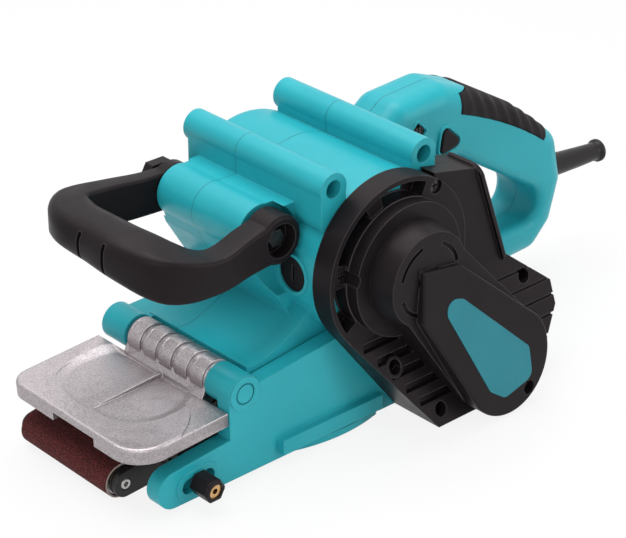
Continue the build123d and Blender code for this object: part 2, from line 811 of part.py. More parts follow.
def motor_bearings():
    rings = []
    for near, far, radius in (NEAR_MOTOR_BEARING, FAR_MOTOR_BEARING):
        rings.append(y_ring(MOTOR, radius, ROTOR_SHAFT_R + RUNNING_FIT, near, far).solid())
    return Compound(children=rings)


def field_core():
    return y_ring(MOTOR, FIELD_R, FIELD_BORE_R, CORE_NEAR, CORE_FAR)


def field_coils():
    near = y_ring(MOTOR, COIL_OUT_R, COIL_IN_R, CORE_NEAR - COIL_LENGTH, CORE_NEAR)
    far = y_ring(MOTOR, COIL_OUT_R, COIL_IN_R, CORE_FAR, CORE_FAR + COIL_LENGTH)
    return Compound(children=[near.solid(), far.solid()])


def brush_block(side, inner, outer, width, height):
    """A box along X on one side of the commutator, between two distances from the motor axis."""
    ends = sorted((MOTOR[0] + side * inner, MOTOR[0] + side * outer))
    return block(
        ends,
        (BRUSH_Y - width / 2, BRUSH_Y + width / 2),
        (BRUSH_Z - height / 2, BRUSH_Z + height / 2),
    )


def brush_pair(make):
    return Compound(children=[make(side).solid() for side in (-1, 1)])


def carbon_brushes():
    start = COMMUTATOR_R + BRUSH_GAP
    return brush_pair(lambda side: brush_block(side, start, start + BRUSH_LENGTH, *BRUSH_SIZE))


def brush_holders():
    ends = (COMMUTATOR_R + BRUSH_HOLDER_GAP, FIELD_R)
    outside = [size + 2 * BRUSH_WALL for size in BRUSH_SIZE]
    return brush_pair(lambda side: brush_block(side, *ends, *outside) - brush_block(side, *ends, *BRUSH_SIZE))


def brush_rod(side, radius, inner, outer):
    ends = sorted((MOTOR[0] + side * inner, MOTOR[0] + side * outer))
    return x_rod(BRUSH_Y, BRUSH_Z, radius, *ends)


def brush_springs():
    start = COMMUTATOR_R + BRUSH_GAP + BRUSH_LENGTH
    return brush_pair(lambda side: brush_rod(side, BRUSH_SPRING_R, start, FIELD_R))


def brush_cap(side):
    cap = brush_rod(side, BRUSH_CAP_R, FIELD_R, BRUSH_CAP_OUT)
    face = BRUSH_CAP_OUT - BRUSH_SLOT[2]
    return cap - brush_block(side, face, BRUSH_CAP_OUT + CUT, BRUSH_SLOT[0], BRUSH_SLOT[1])


def brush_caps():
    return brush_pair(brush_cap)


# Housing


def wall_outline():
    """The drive side wall: round nose, step, ear, sloping top and the back that carries the shaft."""
    low = (NOSE[0], NOSE[1] - NOSE_R)
    top = (NOSE[0], NOSE[1] + NOSE_R)
    tip = (NOSE[0] - NOSE_R, NOSE[1])
    return make_face(
        [
            ThreePointArc(low, tip, top),
            Polyline(
                top,
                NOSE_TOP_REAR,
                (NOSE_TOP_REAR[0], HINGE[1]),
                HINGE,
                WALL_TOP_FRONT,
                WALL_TOP_REAR,
                *WALL_BACK,
                low,
            ),
        ]
    )


def track_slot(grow):
    """The long hole round the tracking knob, in line with the top of the nose."""
    lean = math.degrees(math.atan2(NOSE_TOP_REAR[1] - NOSE[1] - NOSE_R, NOSE_TOP_REAR[0] - NOSE[0]))
    return Pos(*TRACK) * Rot(0, 0, lean) * SlotOverall(TRACK_SLOT[0] + 2 * grow, TRACK_SLOT[1] + 2 * grow)


def tube_web(x):
    """The web under a clamp tube, rounded where it meets the barrel in front."""
    left = x - TUBE_WEB_HALF
    right = x + TUBE_WEB_HALF
    foot = TUBE_Z - TUBE_WEB_DEPTH
    web = outline(((left, TUBE_Z), (right, TUBE_Z), (right, foot), (left, foot)))
    return fillet(web.vertices().sort_by(Axis.Y)[:2].sort_by(Axis.X)[0], TUBE_WEB_ROUND)


def handle_body(grow):
    """The D-handle with soft edges, grown on every side by the given amount."""
    outer = outline(HANDLE_OUTER, HANDLE_OUTER_ROUND)
    loop = outline(HANDLE_LOOP, HANDLE_LOOP_ROUND)
    if grow:
        outer = offset(outer, grow)
        loop = offset(loop, -grow)
    half = HANDLE_HALF + grow
    solid = y_prism(outer - loop, -half, half)
    sides = solid.faces().filter_by(Axis.Y)
    solid = fillet([edge for side in sides for edge in side.outer_wire().edges()], HANDLE_EDGE + grow)
    sides = solid.faces().filter_by(Axis.Y)
    return fillet([edge for side in sides for edge in side.inner_wires().edges()], LOOP_EDGE + grow)


def pad_region():
    """The part of the grip that the soft pad covers, seen from the side."""
    ends = Polyline(PAD_LINE[-1], *PAD_TOP[::-1], PAD_LINE[0])
    return y_prism(make_face([ThreePointArc(*PAD_LINE), ends]), -HANDLE_HALF * 2, HANDLE_HALF * 2)


def grip_pad():
    return (handle_body(PAD_PROUD) & pad_region()) - handle_body(-PAD_THICK)


def grip_frame():
    """Unit vectors along the underside of the grip and out of it, in X and Z."""
    (x0, z0), (x1, z1) = GRIP_LINE
    length = math.dist(*GRIP_LINE)
    along = ((x1 - x0) / length, (z1 - z0) / length)
    out = (along[1], -along[0])
    return along, out


def grip_point(s, t):
    """A point s along the underside of the grip and t out of it."""
    along, out = grip_frame()
    return (
        GRIP_LINE[0][0] + along[0] * s + out[0] * t,
        GRIP_LINE[0][1] + along[1] * s + out[1] * t,
    )


def trigger():
    first = grip_point(TRIGGER_START, TRIGGER_OUT)
    middle = grip_point((TRIGGER_START + TRIGGER_END) / 2, TRIGGER_MIDDLE_OUT)
    last = grip_point(TRIGGER_END, TRIGGER_END_OUT)
    back = [grip_point(s, -TRIGGER_IN) for s in (TRIGGER_END, TRIGGER_START)]
    face = make_face([ThreePointArc(first, middle, last), Polyline(last, *back, first)])
    solid = y_prism(face, -TRIGGER_HALF, TRIGGER_HALF)
    rims = solid.faces().filter_by(Axis.Y).edges().filter_by(GeomType.CIRCLE)
    return fillet(rims, TRIGGER_ROUND)


def trigger_room():
    first = TRIGGER_START - TRIGGER_PLAY
    last = TRIGGER_END + TRIGGER_PLAY
    deep = -TRIGGER_IN - TRIGGER_TRAVEL - TRIGGER_PLAY
    corners = ((first, deep), (last, deep), (last, TRIGGER_OUT), (first, TRIGGER_OUT))
    half = TRIGGER_HALF + TRIGGER_PLAY
    return y_prism(outline([grip_point(s, t) for s, t in corners]), -half, half)


def lock_button():
    solid = y_prism(outline(LOCK_OUTLINE, LOCK_ROUND), LOCK_OUT, LOCK_IN)
    return fillet(solid.faces().sort_by(Axis.Y)[0].edges(), LOCK_EDGE)


def lock_room():
    face = offset(outline(LOCK_OUTLINE, LOCK_ROUND), LOCK_PLAY)
    return y_prism(face, -HANDLE_HALF - CUT, LOCK_IN + LOCK_TRAVEL + LOCK_PLAY)


def speed_dial():
    face = Circle(DIAL_R)
    notch = Pos(DIAL_R, 0) * Circle(DIAL_NOTCH_R)
    for place in PolarLocations(0, DIAL_TEETH):
        face -= place * notch
    return z_prism(Pos(DIAL[0], DIAL[1]) * face, DIAL[2] - DIAL_HALF, DIAL[2] + DIAL_HALF)


def dial_room():
    reach = DIAL_HALF + DIAL_PLAY
    room = z_prism(Pos(DIAL[0], DIAL[1]) * Circle(DIAL_R + DIAL_PLAY), DIAL[2] - reach, DIAL[2] + reach)
    window = Pos(DIAL[0], DIAL[2]) * Rot(0, 0, 45) * Rectangle(DIAL_WINDOW, DIAL_WINDOW)
    return room + y_prism(window, -HANDLE_HALF - CUT, -HANDLE_HALF + DIAL_WINDOW_DEPTH)


def switch_module():
    return block(SWITCH[:2], (-SWITCH_HALF, SWITCH_HALF), SWITCH[2:])


def deck_outline():
    """The deck that sweeps up from behind the lid to the motor barrel."""
    return make_face([Spline(*DECK_TOP), Polyline(DECK_TOP[-1], *DECK_FOOT, DECK_TOP[0])])


def deck_cavity():
    """The deck's hollow: the outline less what lies within a wall of its top, foot or front."""
    inside = deck_outline()
    for x, z in ((0.0, -DECK_WALL), (0.0, DECK_WALL), (DECK_WALL, 0.0)):
        inside &= Pos(x, z) * deck_outline()
    hollow = y_prism(inside, DECK_NEAR + DECK_WALL, DECK_FAR - DECK_WALL)
    hollow -= y_rod(MOTOR, BARREL_R, BARREL_NEAR, BARREL_FAR)
    return hollow - y_prism(loop_around(ROOF_GAP + ROOF_THICK), ROOF_NEAR, ROOF_FAR)


def throat():
    """The body between the motor and the front handle, cut back round the handle's arms."""
    solid = y_prism(outline(THROAT), THROAT_NEAR, THROAT_FAR)
    for near, far in ((THROAT_NEAR, BOSS_NEAR), (BOSS_FAR, THROAT_FAR)):
        solid -= y_rod(BOSS, RELIEF_R, near, far)
    return solid - brush_rod(-1, BRUSH_ACCESS_R, BRUSH_COLLAR_OUT, BRUSH_ACCESS_OUT)


def housing():
    """Both halves in one piece, before they are parted at the seam."""
    barrel = y_rod(MOTOR, BARREL_R, BARREL_NEAR, BARREL_FAR)
    body = fillet(barrel.faces().sort_by(Axis.Y)[-1].edges(), BARREL_ROUND)
    for x in TUBE_X:
        body += y_rod((x, TUBE_Z), TUBE_R, TUBE_NEAR, TUBE_FAR)
        body += y_prism(tube_web(x), TUBE_NEAR, BARREL_FAR - BARREL_ROUND)
    body += y_rod(BOSS, BOSS_R, BOSS_NEAR, BOSS_FAR)
    body += throat()
    body += y_prism(deck_outline(), DECK_NEAR, DECK_FAR)
    body += brush_rod(-1, BRUSH_COLLAR_R, FIELD_R, BRUSH_COLLAR_OUT)
    body += handle_body(0.0)
    roof = loop_around(ROOF_GAP + ROOF_THICK) & Pos(ROOF_FRONT, SHROUD_LOW) * Rectangle(
        BELT_LENGTH, BELT_LENGTH, align=Align.MIN
    )
    body += y_prism(roof, ROOF_NEAR, ROOF_FAR)
    body += y_rod(HINGE, EAR_R, FAR_EAR_IN, FAR_EAR_OUT)
    body += y_prism(outline(FAR_RIB), FAR_EAR_IN, FAR_EAR_OUT)
    body -= y_prism(loop_around(ROOF_GAP), WALL_FAR, ROOF_FAR + BARREL_R)
    body += y_prism(wall_outline(), WALL_NEAR, WALL_FAR)
    body += y_rod(HINGE, EAR_R, WALL_NEAR, NEAR_EAR_IN)
    body += y_rod(HINGE, RING_BOSS_R, RING_BOSS_OUT, WALL_NEAR)
    body += block(RAIL[:2], (RAIL_OUT, WALL_NEAR), RAIL[2:])
    body += y_prism(track_slot(TRACK_SLOT_RIM), KNOB_COLLAR_OUT, WALL_NEAR)
    return body - housing_rooms()


def housing_rooms():
    """Everything that is cut out of the housing."""
    rooms = y_rod(MOTOR, FIELD_R, END_WALL_NEAR, END_WALL_FAR)
    for near, far, radius in (NEAR_MOTOR_BEARING, FAR_MOTOR_BEARING):
        rooms += y_rod(MOTOR, radius, near, far)
    for x in TUBE_X:
        rooms += y_rod((x, TUBE_Z), TUBE_BORE_R, TUBE_NEAR, TUBE_FAR)
    rooms += y_rod(BOSS, BOSS_BORE_R, BOSS_NEAR, BOSS_FAR)
    rooms += y_rod(REAR, NEAR_BEARING_R, WALL_NEAR, WALL_FAR)
    rooms += y_rod(TRACK, TRACK_SCREW_R + RUNNING_FIT, WALL_NEAR, WALL_FAR)
    rooms += y_prism(track_slot(0.0), KNOB_COLLAR_OUT, TRACK_SLOT_FLOOR)
    rooms += y_rod(HINGE, LID_PIN_R, LID_PIN_NEAR, FAR_EAR_OUT)
    inner, outer = PIN_GROOVE_R
    rooms += y_ring(HINGE, outer, inner, RING_BOSS_OUT, RING_BOSS_OUT + PIN_GROOVE_DEEP)
    for side in (-1, 1):
        rooms += brush_rod(side, BRUSH_CAP_R, FIELD_R - CUT, BRUSH_COLLAR_OUT)
    rooms += handle_cavity() + throat_cavity() + deck_cavity()
    rooms += switch_module() + trigger_room() + lock_room() + dial_room() + sleeve_body()
    for place in HOUSING_SCREWS:
        rooms += y_rod(place, HOUSING_SCREW_R, HOUSING_SCREW_TIP, HOUSING_SCREW_SEAT)
        rooms += y_rod(place, HOUSING_SCREW_HEAD_R, HOUSING_SCREW_SEAT, HANDLE_HALF + HANDLE_EDGE)
    for place in FLANGE_SCREWS + TAIL_SCREWS:
        rooms += y_rod(place, COVER_SCREW_R, WALL_NEAR, COVER_SCREW_BITE)
    rooms += y_prism(sector(REAR, *DUST_WINDOW_R, *DUST_WINDOW_ANGLES), WALL_NEAR, WALL_FAR)
    for start, end in AIR_ANGLES:
        rooms += y_prism(sector(MOTOR, *AIR_R, start, end), BARREL_NEAR, END_WALL_NEAR)
    for angle in (0.0, LEVER_SWING):
        rooms += z_prism(lever_swung(angle), LEVER_SLOT_LOW, LEVER_HIGH + LEVER_SLOT_GAP)
    rooms += z_prism(Pos(*LEVER_PIVOT) * Circle(LEVER_PIN_R), LEVER_HIGH, LEVER_PIN_TOP)
    for place in FRAME_SCREWS:
        rooms += y_rod(place, FRAME_SCREW_R, WALL_FAR - FRAME_SCREW_GRIP, WALL_FAR)
    return rooms


def handle_cavity():
    """The hollow of the D-handle: walls, posts and the pockets of its contents are left standing."""
    hollow = handle_body(-HANDLE_WALL)
    hollow -= y_rod(MOTOR, BARREL_R, BARREL_NEAR, BARREL_FAR)
    hollow -= y_prism(loop_around(ROOF_GAP + ROOF_THICK), ROOF_NEAR, ROOF_FAR)
    hollow -= y_rod((TUBE_X[1], TUBE_Z), TUBE_R, TUBE_NEAR, TUBE_FAR)
    hollow -= y_prism(tube_web(TUBE_X[1]), TUBE_NEAR, TUBE_FAR)
    for place in HOUSING_SCREWS:
        hollow -= y_rod(place, HOUSING_POST_R, -HANDLE_HALF, HANDLE_HALF)
    for held in (switch_module(), trigger_room(), lock_room(), dial_room(), sleeve_body()):
        box = held.bounding_box()
        hollow -= block(
            (box.min.X - COVER_WALL, box.max.X + COVER_WALL),
            (box.min.Y - COVER_WALL, box.max.Y + COVER_WALL),
            (box.min.Z - COVER_WALL, box.max.Z + COVER_WALL),
        )
    return hollow


def throat_cavity():
    """The hollow between the motor barrel, the handle boss and the belt tunnel."""
    inside = offset(outline(THROAT), -THROAT_WALL)
    hollow = y_prism(inside, THROAT_NEAR + THROAT_WALL, THROAT_FAR - THROAT_WALL)
    hollow -= y_rod(MOTOR, BARREL_R, BARREL_NEAR, BARREL_FAR)
    hollow -= y_rod(BOSS, BOSS_R, BOSS_NEAR, BOSS_FAR)
    hollow -= y_prism(loop_around(ROOF_GAP + ROOF_THICK), ROOF_NEAR, ROOF_FAR)
    hollow -= brush_rod(-1, BRUSH_ACCESS_R + THROAT_WALL, FIELD_R, BRUSH_ACCESS_OUT)
    return hollow - y_rod(BOSS, RELIEF_R + THROAT_WALL, THROAT_NEAR, BOSS_NEAR + THROAT_WALL)


def sleeve_body():
    """The cord sleeve without its bore: a tapering round boot that droops a little."""
    rim = [(distance, radius) for distance, radius in SLEEVE_STEPS]
    profile = outline([(0.0, 0.0), *rim, (SLEEVE_STEPS[-1][0], 0.0)])
    boot = revolve(Plane.XZ * profile, Axis.X)
    return Pos(SLEEVE_ROOT[0], 0, SLEEVE_ROOT[1]) * Rot(0, SLEEVE_DROOP, 0) * boot


def cord_sleeve():
    length = SLEEVE_STEPS[-1][0]
    bore = Pos(length / 2, 0, 0) * Rot(0, 90, 0) * Cylinder(SLEEVE_BORE_R, length)
    return sleeve_body() - Pos(SLEEVE_ROOT[0], 0, SLEEVE_ROOT[1]) * Rot(0, SLEEVE_DROOP, 0) * bore


def housing_screws():
    screws = []
    top = HOUSING_SCREW_SEAT + HOUSING_SCREW_HEAD
    for place in HOUSING_SCREWS:
        screw = y_rod(place, HOUSING_SCREW_R, HOUSING_SCREW_TIP, HOUSING_SCREW_SEAT)
        screw += y_rod(place, HOUSING_SCREW_HEAD_R, HOUSING_SCREW_SEAT, top)
        screws.append(screw.solid())
    return Compound(children=screws)


# Covers


def leaning(foot, slope):
    """Everything behind a face that leans out towards the bottom, where its y is foot."""
    low = TAIL_LOW - TAIL_REACH
    high = TAIL_LOW + TAIL_REACH
    reach = slope * TAIL_REACH
    side = outline(((foot - reach, low), (foot + reach, high), (TAIL_REACH, high), (TAIL_REACH, low)))
    return Pos(-TAIL_REACH, 0, 0) * extrude(Plane.YZ * side, amount=2 * TAIL_REACH)


def tail_block(grow):
    """The cover's tail: a flat outline whose outer face leans out towards the bottom."""
    prism = y_prism(offset(outline(TAIL_OUTLINE), grow), TAIL_FOOT - TAIL_REACH, FLANGE_FAR)
    return prism & leaning(TAIL_FOOT - grow, TAIL_SLOPE)


def pocket(grow):
    """The outline of the room for the pulleys and their band."""
    return stretched(MOTOR, POCKET_MOTOR_R + grow, REAR, POCKET_DRIVEN_R + grow)


def duct_frame():
    """A plane on the duct's mouth, its X running down the mouth and its Z pointing out."""
    (x0, z0), (x1, z1) = DUCT_MOUTH
    length = math.dist(*DUCT_MOUTH)
    down = ((x1 - x0) / length, 0, (z1 - z0) / length)
    out = (-down[2], 0, down[0])
    middle = ((x0 + x1) / 2, (DUCT_NEAR + DUCT_FAR) / 2, (z0 + z1) / 2)
    return Plane(origin=middle, x_dir=down, z_dir=out)


def duct_outline():
    return outline((DUCT_BACK[0], DUCT_MOUTH[0], DUCT_MOUTH[1], DUCT_BACK[1]))


def duct_block():
    """The dust outlet with its rim, clear of the barrel and of the tube beside it."""
    duct = y_prism(duct_outline(), DUCT_NEAR, DUCT_FAR)
    frame = duct_frame()
    length = math.dist(*DUCT_MOUTH) + 2 * DUCT_RIM
    width = DUCT_FAR - DUCT_NEAR + 2 * DUCT_RIM
    rim = RectangleRounded(length, width, DUCT_RIM_ROUND)
    duct += extrude(frame * rim, amount=-DUCT_RIM_THICK)
    duct -= y_rod(MOTOR, BARREL_R + DUCT_CLEAR, BARREL_NEAR, BARREL_FAR)
    duct -= y_rod((TUBE_X[1], TUBE_Z), TUBE_R + DUCT_CLEAR, TUBE_NEAR, TUBE_FAR)
    return duct - y_prism(offset(tube_web(TUBE_X[1]), DUCT_CLEAR), TUBE_NEAR, TUBE_FAR)


def duct_passage():
    """The hollow of the dust outlet, open at its mouth."""
    length = math.dist(*DUCT_MOUTH) - 2 * DUCT_WALL
    width = DUCT_FAR - DUCT_NEAR - 2 * DUCT_WALL
    opening = RectangleRounded(length, width, DUCT_RIM_ROUND / 2)
    mouth = extrude(duct_frame() * opening, amount=-2 * DUCT_RIM_ROUND)
    inside = offset(duct_outline(), -DUCT_WALL)
    room = y_prism(inside, DUCT_NEAR + DUCT_WALL, DUCT_FAR - DUCT_WALL)
    outer = BARREL_R + DUCT_CLEAR + DUCT_WALL
    room -= y_rod(MOTOR, outer, BARREL_NEAR - DUCT_WALL, BARREL_FAR)
    room -= y_rod((TUBE_X[1], TUBE_Z), TUBE_R + DUCT_CLEAR + DUCT_WALL, TUBE_NEAR - DUCT_WALL, TUBE_FAR)
    room -= y_prism(offset(tube_web(TUBE_X[1]), DUCT_CLEAR + DUCT_WALL), TUBE_NEAR - DUCT_WALL, TUBE_FAR)
    return room + mouth


def face_y(z):
    """Where the tail's leaning face is at that height."""
    return TAIL_FOOT + TAIL_SLOPE * (z - TAIL_LOW)


def louvre_cuts():
    """Open slots beside the arm on one side, shallow steps on the other."""
    cuts = []
    for i in range(LOUVRES):
        low = LOUVRE_LOW + i * LOUVRE_PITCH
        left = LOUVRE_LEFT[0] - LOUVRE_LEFT[1] * low
        right = LOUVRE_RIGHT[0] - LOUVRE_RIGHT[1] * low
        depth = (TAIL_FOOT, face_y(low) + 2 * COVER_WALL)
        cuts.append(block((left, right), depth, (low, low + LOUVRE_HIGH)))
    for z in STEPS:
        y = face_y(z)
        cuts.append(block((STEP_FRONT, TAIL_REACH), (y - STEP_DEEP, y + STEP_DEEP), (z, z + STEP_HIGH)))
    return cuts


def fan_cover():
    cover = y_rod(MOTOR, FLANGE_R, FLANGE_NEAR, FLANGE_FAR)
    cover -= y_prism(sector(MOTOR, *RECESS_R, *RECESS_ANGLES), FLANGE_NEAR, RECESS_FLOOR)
    for start, end in FLANGE_PADS:
        cover += y_prism(sector(MOTOR, *RECESS_R, start, end), FLANGE_PAD, RECESS_FLOOR)
    cover += y_rod(MOTOR, DOME_R, DOME_NEAR, FLANGE_FAR)
    cover += tail_block(0.0) + duct_block()
    for start, end in VENT_ANGLES:
        cover -= y_prism(sector(MOTOR, *VENT_R, start, end), FLANGE_NEAR, FLANGE_FAR)
    hollow = tail_block(-COVER_WALL) - y_prism(pocket(POCKET_WALL), ARM_FOOT, POCKET_FLOOR + POCKET_WALL)
    hollow += y_rod(MOTOR, FAN_ROOM_R, FAN_ROOM_NEAR, FLANGE_FAR)
    scroll = sector(MOTOR, FAN_ROOM_R - COVER_WALL, SCROLL_R, *SCROLL_ANGLES)
    hollow += y_prism(scroll, SCROLL_NEAR, FLANGE_FAR)
    hollow += duct_passage()
    for place in TAIL_SCREWS + FLANGE_SCREWS:
        hollow -= y_rod(place, COVER_POST_R, TAIL_FOOT, FLANGE_FAR)
    cover -= hollow
    cover -= y_prism(pocket(0.0), ARM_FOOT, POCKET_FLOOR)
    cover -= y_rod(REAR, SHAFT_HOLE_R, ARM_FOOT, FLANGE_FAR)
    cover -= y_rod(MOTOR, ROTOR_HOLE_R, ARM_FOOT, FLANGE_FAR)
    for cut in louvre_cuts():
        cover -= cut
    for place, seat in cover_seats():
        cover -= y_rod(place, COVER_SCREW_R, seat, FLANGE_FAR)
        cover -= y_rod(place, COVER_SCREW_HEAD_R, TAIL_FOOT, seat)
    return cover - y_rod(ARM_SCREW, COVER_SCREW_R, ARM_SCREW_SEAT, ARM_SCREW_TIP)


def cover_seats():
    """Each fan cover screw with the depth of its head's seat."""
    flange = [(place, FLANGE_SCREW_SEAT) for place in FLANGE_SCREWS]
    return flange + [(place, TAIL_SCREW_SEAT) for place in TAIL_SCREWS]


def cover_screw(place, seat, tip):
    screw = y_rod(place, COVER_SCREW_R, seat, tip)
    screw += y_rod(place, COVER_SCREW_HEAD_R, seat - COVER_SCREW_HEAD, seat)
    for size in ((CROSS[0], CROSS[1]), (CROSS[1], CROSS[0])):
        slot = Pos(*place) * Rectangle(*size)
        screw -= y_prism(slot, seat - COVER_SCREW_HEAD, seat - COVER_SCREW_HEAD + CROSS[2])
    return screw.solid()


def cover_screws():
    screws = [cover_screw(place, seat, COVER_SCREW_BITE) for place, seat in cover_seats()]
    return Compound(children=[*screws, cover_screw(ARM_SCREW, ARM_SCREW_SEAT, ARM_SCREW_TIP)])


def arm_outline():
    """The raised arm of the drive cover: square at the motor, round over the driven pulley."""
    along = math.atan2(ARM_END[1] - MOTOR[1], ARM_END[0] - MOTOR[0])
    right = polar(ARM_END, SKIRT_END_R, along + math.pi / 2)
    left = polar(ARM_END, SKIRT_END_R, along - math.pi / 2)
    tip = polar(ARM_END, SKIRT_END_R, along)
    return make_face([ThreePointArc(right, tip, left), Polyline(left, ARM_LEFT, *ARM_TOP, right)])


def drive_cover():
    cover = y_prism(stretched(MOTOR, SKIRT_MOTOR_R, ARM_END, SKIRT_END_R), HUB_NEAR, FLANGE_FAR)
    hub = Pos(MOTOR[0], DOME_NEAR, MOTOR[1]) * Rot(90, 0, 0) * Cone(
        HUB_FOOT_R, HUB_R, DOME_NEAR - HUB_NEAR, align=(Align.CENTER, Align.CENTER, Align.MIN)
    )
    arm = y_prism(arm_outline(), ARM_FOOT - CUT, HUB_NEAR) & leaning(ARM_FOOT, ARM_SLOPE)
    arm = fillet(arm.faces().sort_by(Axis.Y)[0].edges(), ARM_ROUND)
    cover += hub
    for start, end in HUB_GROOVE_ANGLES:
        cover -= y_prism(sector(MOTOR, *HUB_GROOVE_R, start, end), HUB_NEAR, HUB_NEAR + HUB_GROOVE_DEEP)
    cover += arm
    cover -= y_rod(MOTOR, DOME_R, DOME_NEAR, FLANGE_FAR)
    cover -= y_rod(MOTOR, FLANGE_R, FLANGE_NEAR, FLANGE_FAR)
    cover -= tail_block(0.0)
    cover -= duct_block()
    cover -= block((MOTOR[0], TAIL_REACH), (HUB_NEAR, FLANGE_FAR), (0.0, TAIL_LOW))
    cover -= y_prism(pocket(0.0), ARM_FOOT, FLANGE_FAR) & leaning(ARM_FOOT + ARM_WALL, ARM_SLOPE)
    cover -= badge_plate(-CUT)
    cover -= y_rod(ARM_SCREW, COVER_SCREW_R, ARM_SCREW_SEAT, FLANGE_FAR)
    return cover - y_rod(ARM_SCREW, COVER_SCREW_HEAD_R, ARM_FOOT - CUT, ARM_SCREW_SEAT)


def badge_plate(start):
    """The badge's outline on the leaning face, from that depth down to its seat."""
    plate = y_prism(outline(BADGE, BADGE_ROUND), ARM_FOOT - BADGE_THICK, HUB_NEAR)
    plate &= leaning(ARM_FOOT + start, ARM_SLOPE)
    return plate - leaning(ARM_FOOT + BADGE_SINK, ARM_SLOPE)


def badge():
    return badge_plate(BADGE_SINK - BADGE_THICK)


# Front lid and front handle


def dish(edge, ridge_y):
    """A shallow hollow between a curved edge and the ridge, fading out towards the front."""
    rear = (edge[0][0], ridge_y)
    front = (edge[-1][0], ridge_y)
    face = make_face([Spline(*edge), Polyline(edge[-1], front, rear, edge[0])])
    return Pos(0, 0, -DISH_DEEP) * Rot(0, DISH_RISE, 0) * z_prism(face, 0.0, LID_THICK)


def lid_plate(length):
    """The lid's plate with its rear edge on the Y axis and its face on z = 0."""
    plan = outline(((0.0, LID_NEAR), (-length, LID_NEAR), (-length, LID_FAR), (0.0, LID_FAR)))
    plan = fillet(plan.vertices().sort_by(Axis.X)[:2].sort_by(Axis.Y)[0], LID_NEAR_ROUND)
    plan = fillet(plan.vertices().sort_by(Axis.Y)[-2:].sort_by(Axis.X)[0], LID_FAR_ROUND)
    plate = z_prism(plan, -LID_THICK, 0.0)
    plate = fillet(plate.faces().sort_by(Axis.Z)[-1].edges().sort_by(Axis.X)[:-1], LID_EDGE)
    plate -= z_prism(offset(plan, -LID_WALL), -LID_THICK, -LID_SKIN)
    notch_height = (-LID_THICK, -LID_THICK + LID_NOTCH_RISE)
    plate -= block((-length, -length + LID_NEAR_ROUND), LID_NOTCH, notch_height)
    plate -= dish(FAR_DISH, RIDGE[3])
    plate -= dish(NEAR_DISH, RIDGE[2])
    first, last = CORNER_STEP[0], CORNER_STEP[-1]
    beyond = LID_NEAR - LID_THICK
    around = Polyline(last, (last[0], beyond), (LID_THICK, beyond), (LID_THICK, first[1]), first)
    plate -= z_prism(make_face([Spline(*CORNER_STEP), around]), -CORNER_DEEP, LID_THICK)
    return plate + block(RIDGE[:2], RIDGE[2:], (-DISH_DEEP - RIDGE_PROUD, RIDGE_PROUD))


def lid_band(near):
    """One raised band of the hinge barrel, with a pocket in its front."""
    radius = BARREL_LID_R + LID_BAND_HIGH
    band = y_rod(HINGE, radius, near, near + LID_BAND_WIDTH)
    band = fillet(band.edges(), LID_BAND_EDGE)
    way = math.radians(LID_BAND_POCKET_ANGLE)
    x, z = polar(HINGE, radius, way)
    middle = (x, near + LID_BAND_WIDTH / 2, z)
    spot = Plane(origin=middle, x_dir=(0, 1, 0), z_dir=(math.cos(way), 0, math.sin(way)))
    return band - spot * Box(*LID_BAND_POCKET)


def front_lid():
    tilt = math.atan2(LID_TOP_REAR - LID_TOP_FRONT, LID_REAR - LID_FRONT)
    length = (LID_REAR - LID_FRONT) / math.cos(tilt)
    lid = Pos(LID_REAR, 0, LID_TOP_REAR) * Rot(0, -math.degrees(tilt), 0) * lid_plate(length)
    lid += y_prism(outline(LID_NECK), LID_BARREL_NEAR, LID_BARREL_FAR)
    lid += y_rod(HINGE, BARREL_LID_R - LID_BAND_HIGH, LID_BARREL_NEAR, LID_BARREL_FAR)
    first = (LID_BARREL_NEAR + LID_BARREL_FAR - (LID_BANDS - 1) * LID_BAND_PITCH - LID_BAND_WIDTH) / 2
    for i in range(LID_BANDS):
        lid += lid_band(first + i * LID_BAND_PITCH)
    return lid - y_rod(HINGE, LID_PIN_R + RUNNING_FIT, LID_BARREL_NEAR, LID_BARREL_FAR)


def lid_pin():
    return y_rod(HINGE, LID_PIN_R, LID_PIN_NEAR, FAR_EAR_OUT)


def handle_ring(near, far):
    ring = y_rod(BOSS, H_RING_R, near, far)
    return fillet(ring.edges(), H_RING_ROUND)


def front_handle():
    """A bow lofted through its sections, with a ring at the end of each arm."""
    sections = []
    for x, y, z, heading, width, height, corner in H_SECTIONS:
        way = math.radians(heading)
        side = (math.sin(way), -math.cos(way), 0)
        plane = Plane(origin=(x, y, z), x_dir=side, z_dir=(math.cos(way), math.sin(way), 0))
        sections.append(plane * RectangleRounded(width, height, corner))
    bow = loft(sections)
    bow += handle_ring(H_NEAR, H_ARM_IN_NEAR)
    bow += handle_ring(H_ARM_IN_FAR, H_FAR)
    for y in H_SLOTS:
        across = (y - H_SLOT_WIDTH / 2, y + H_SLOT_WIDTH / 2)
        bow -= block((H_SLOT_FRONT, H_SLOT_FLOOR), across, (0.0, H_SLOT_TOP))
    bow -= y_rod(BOSS, BOLT_R, H_NEAR, KNOB_FAR)
    bow -= y_rod(BOSS, KNOB_R + RELIEF_GAP, H_FAR, KNOB_FAR)
    return bow - y_rod(BOSS, H_RECESS_R, H_NEAR - BOLT_HEAD, H_NEAR + H_RECESS)


def handle_bolt():
    head = H_NEAR + H_RECESS
    return hexagon_rod(BOSS, BOLT_HEX_R, head - BOLT_HEAD, head) + y_rod(BOSS, BOLT_R, head, BOLT_FAR)


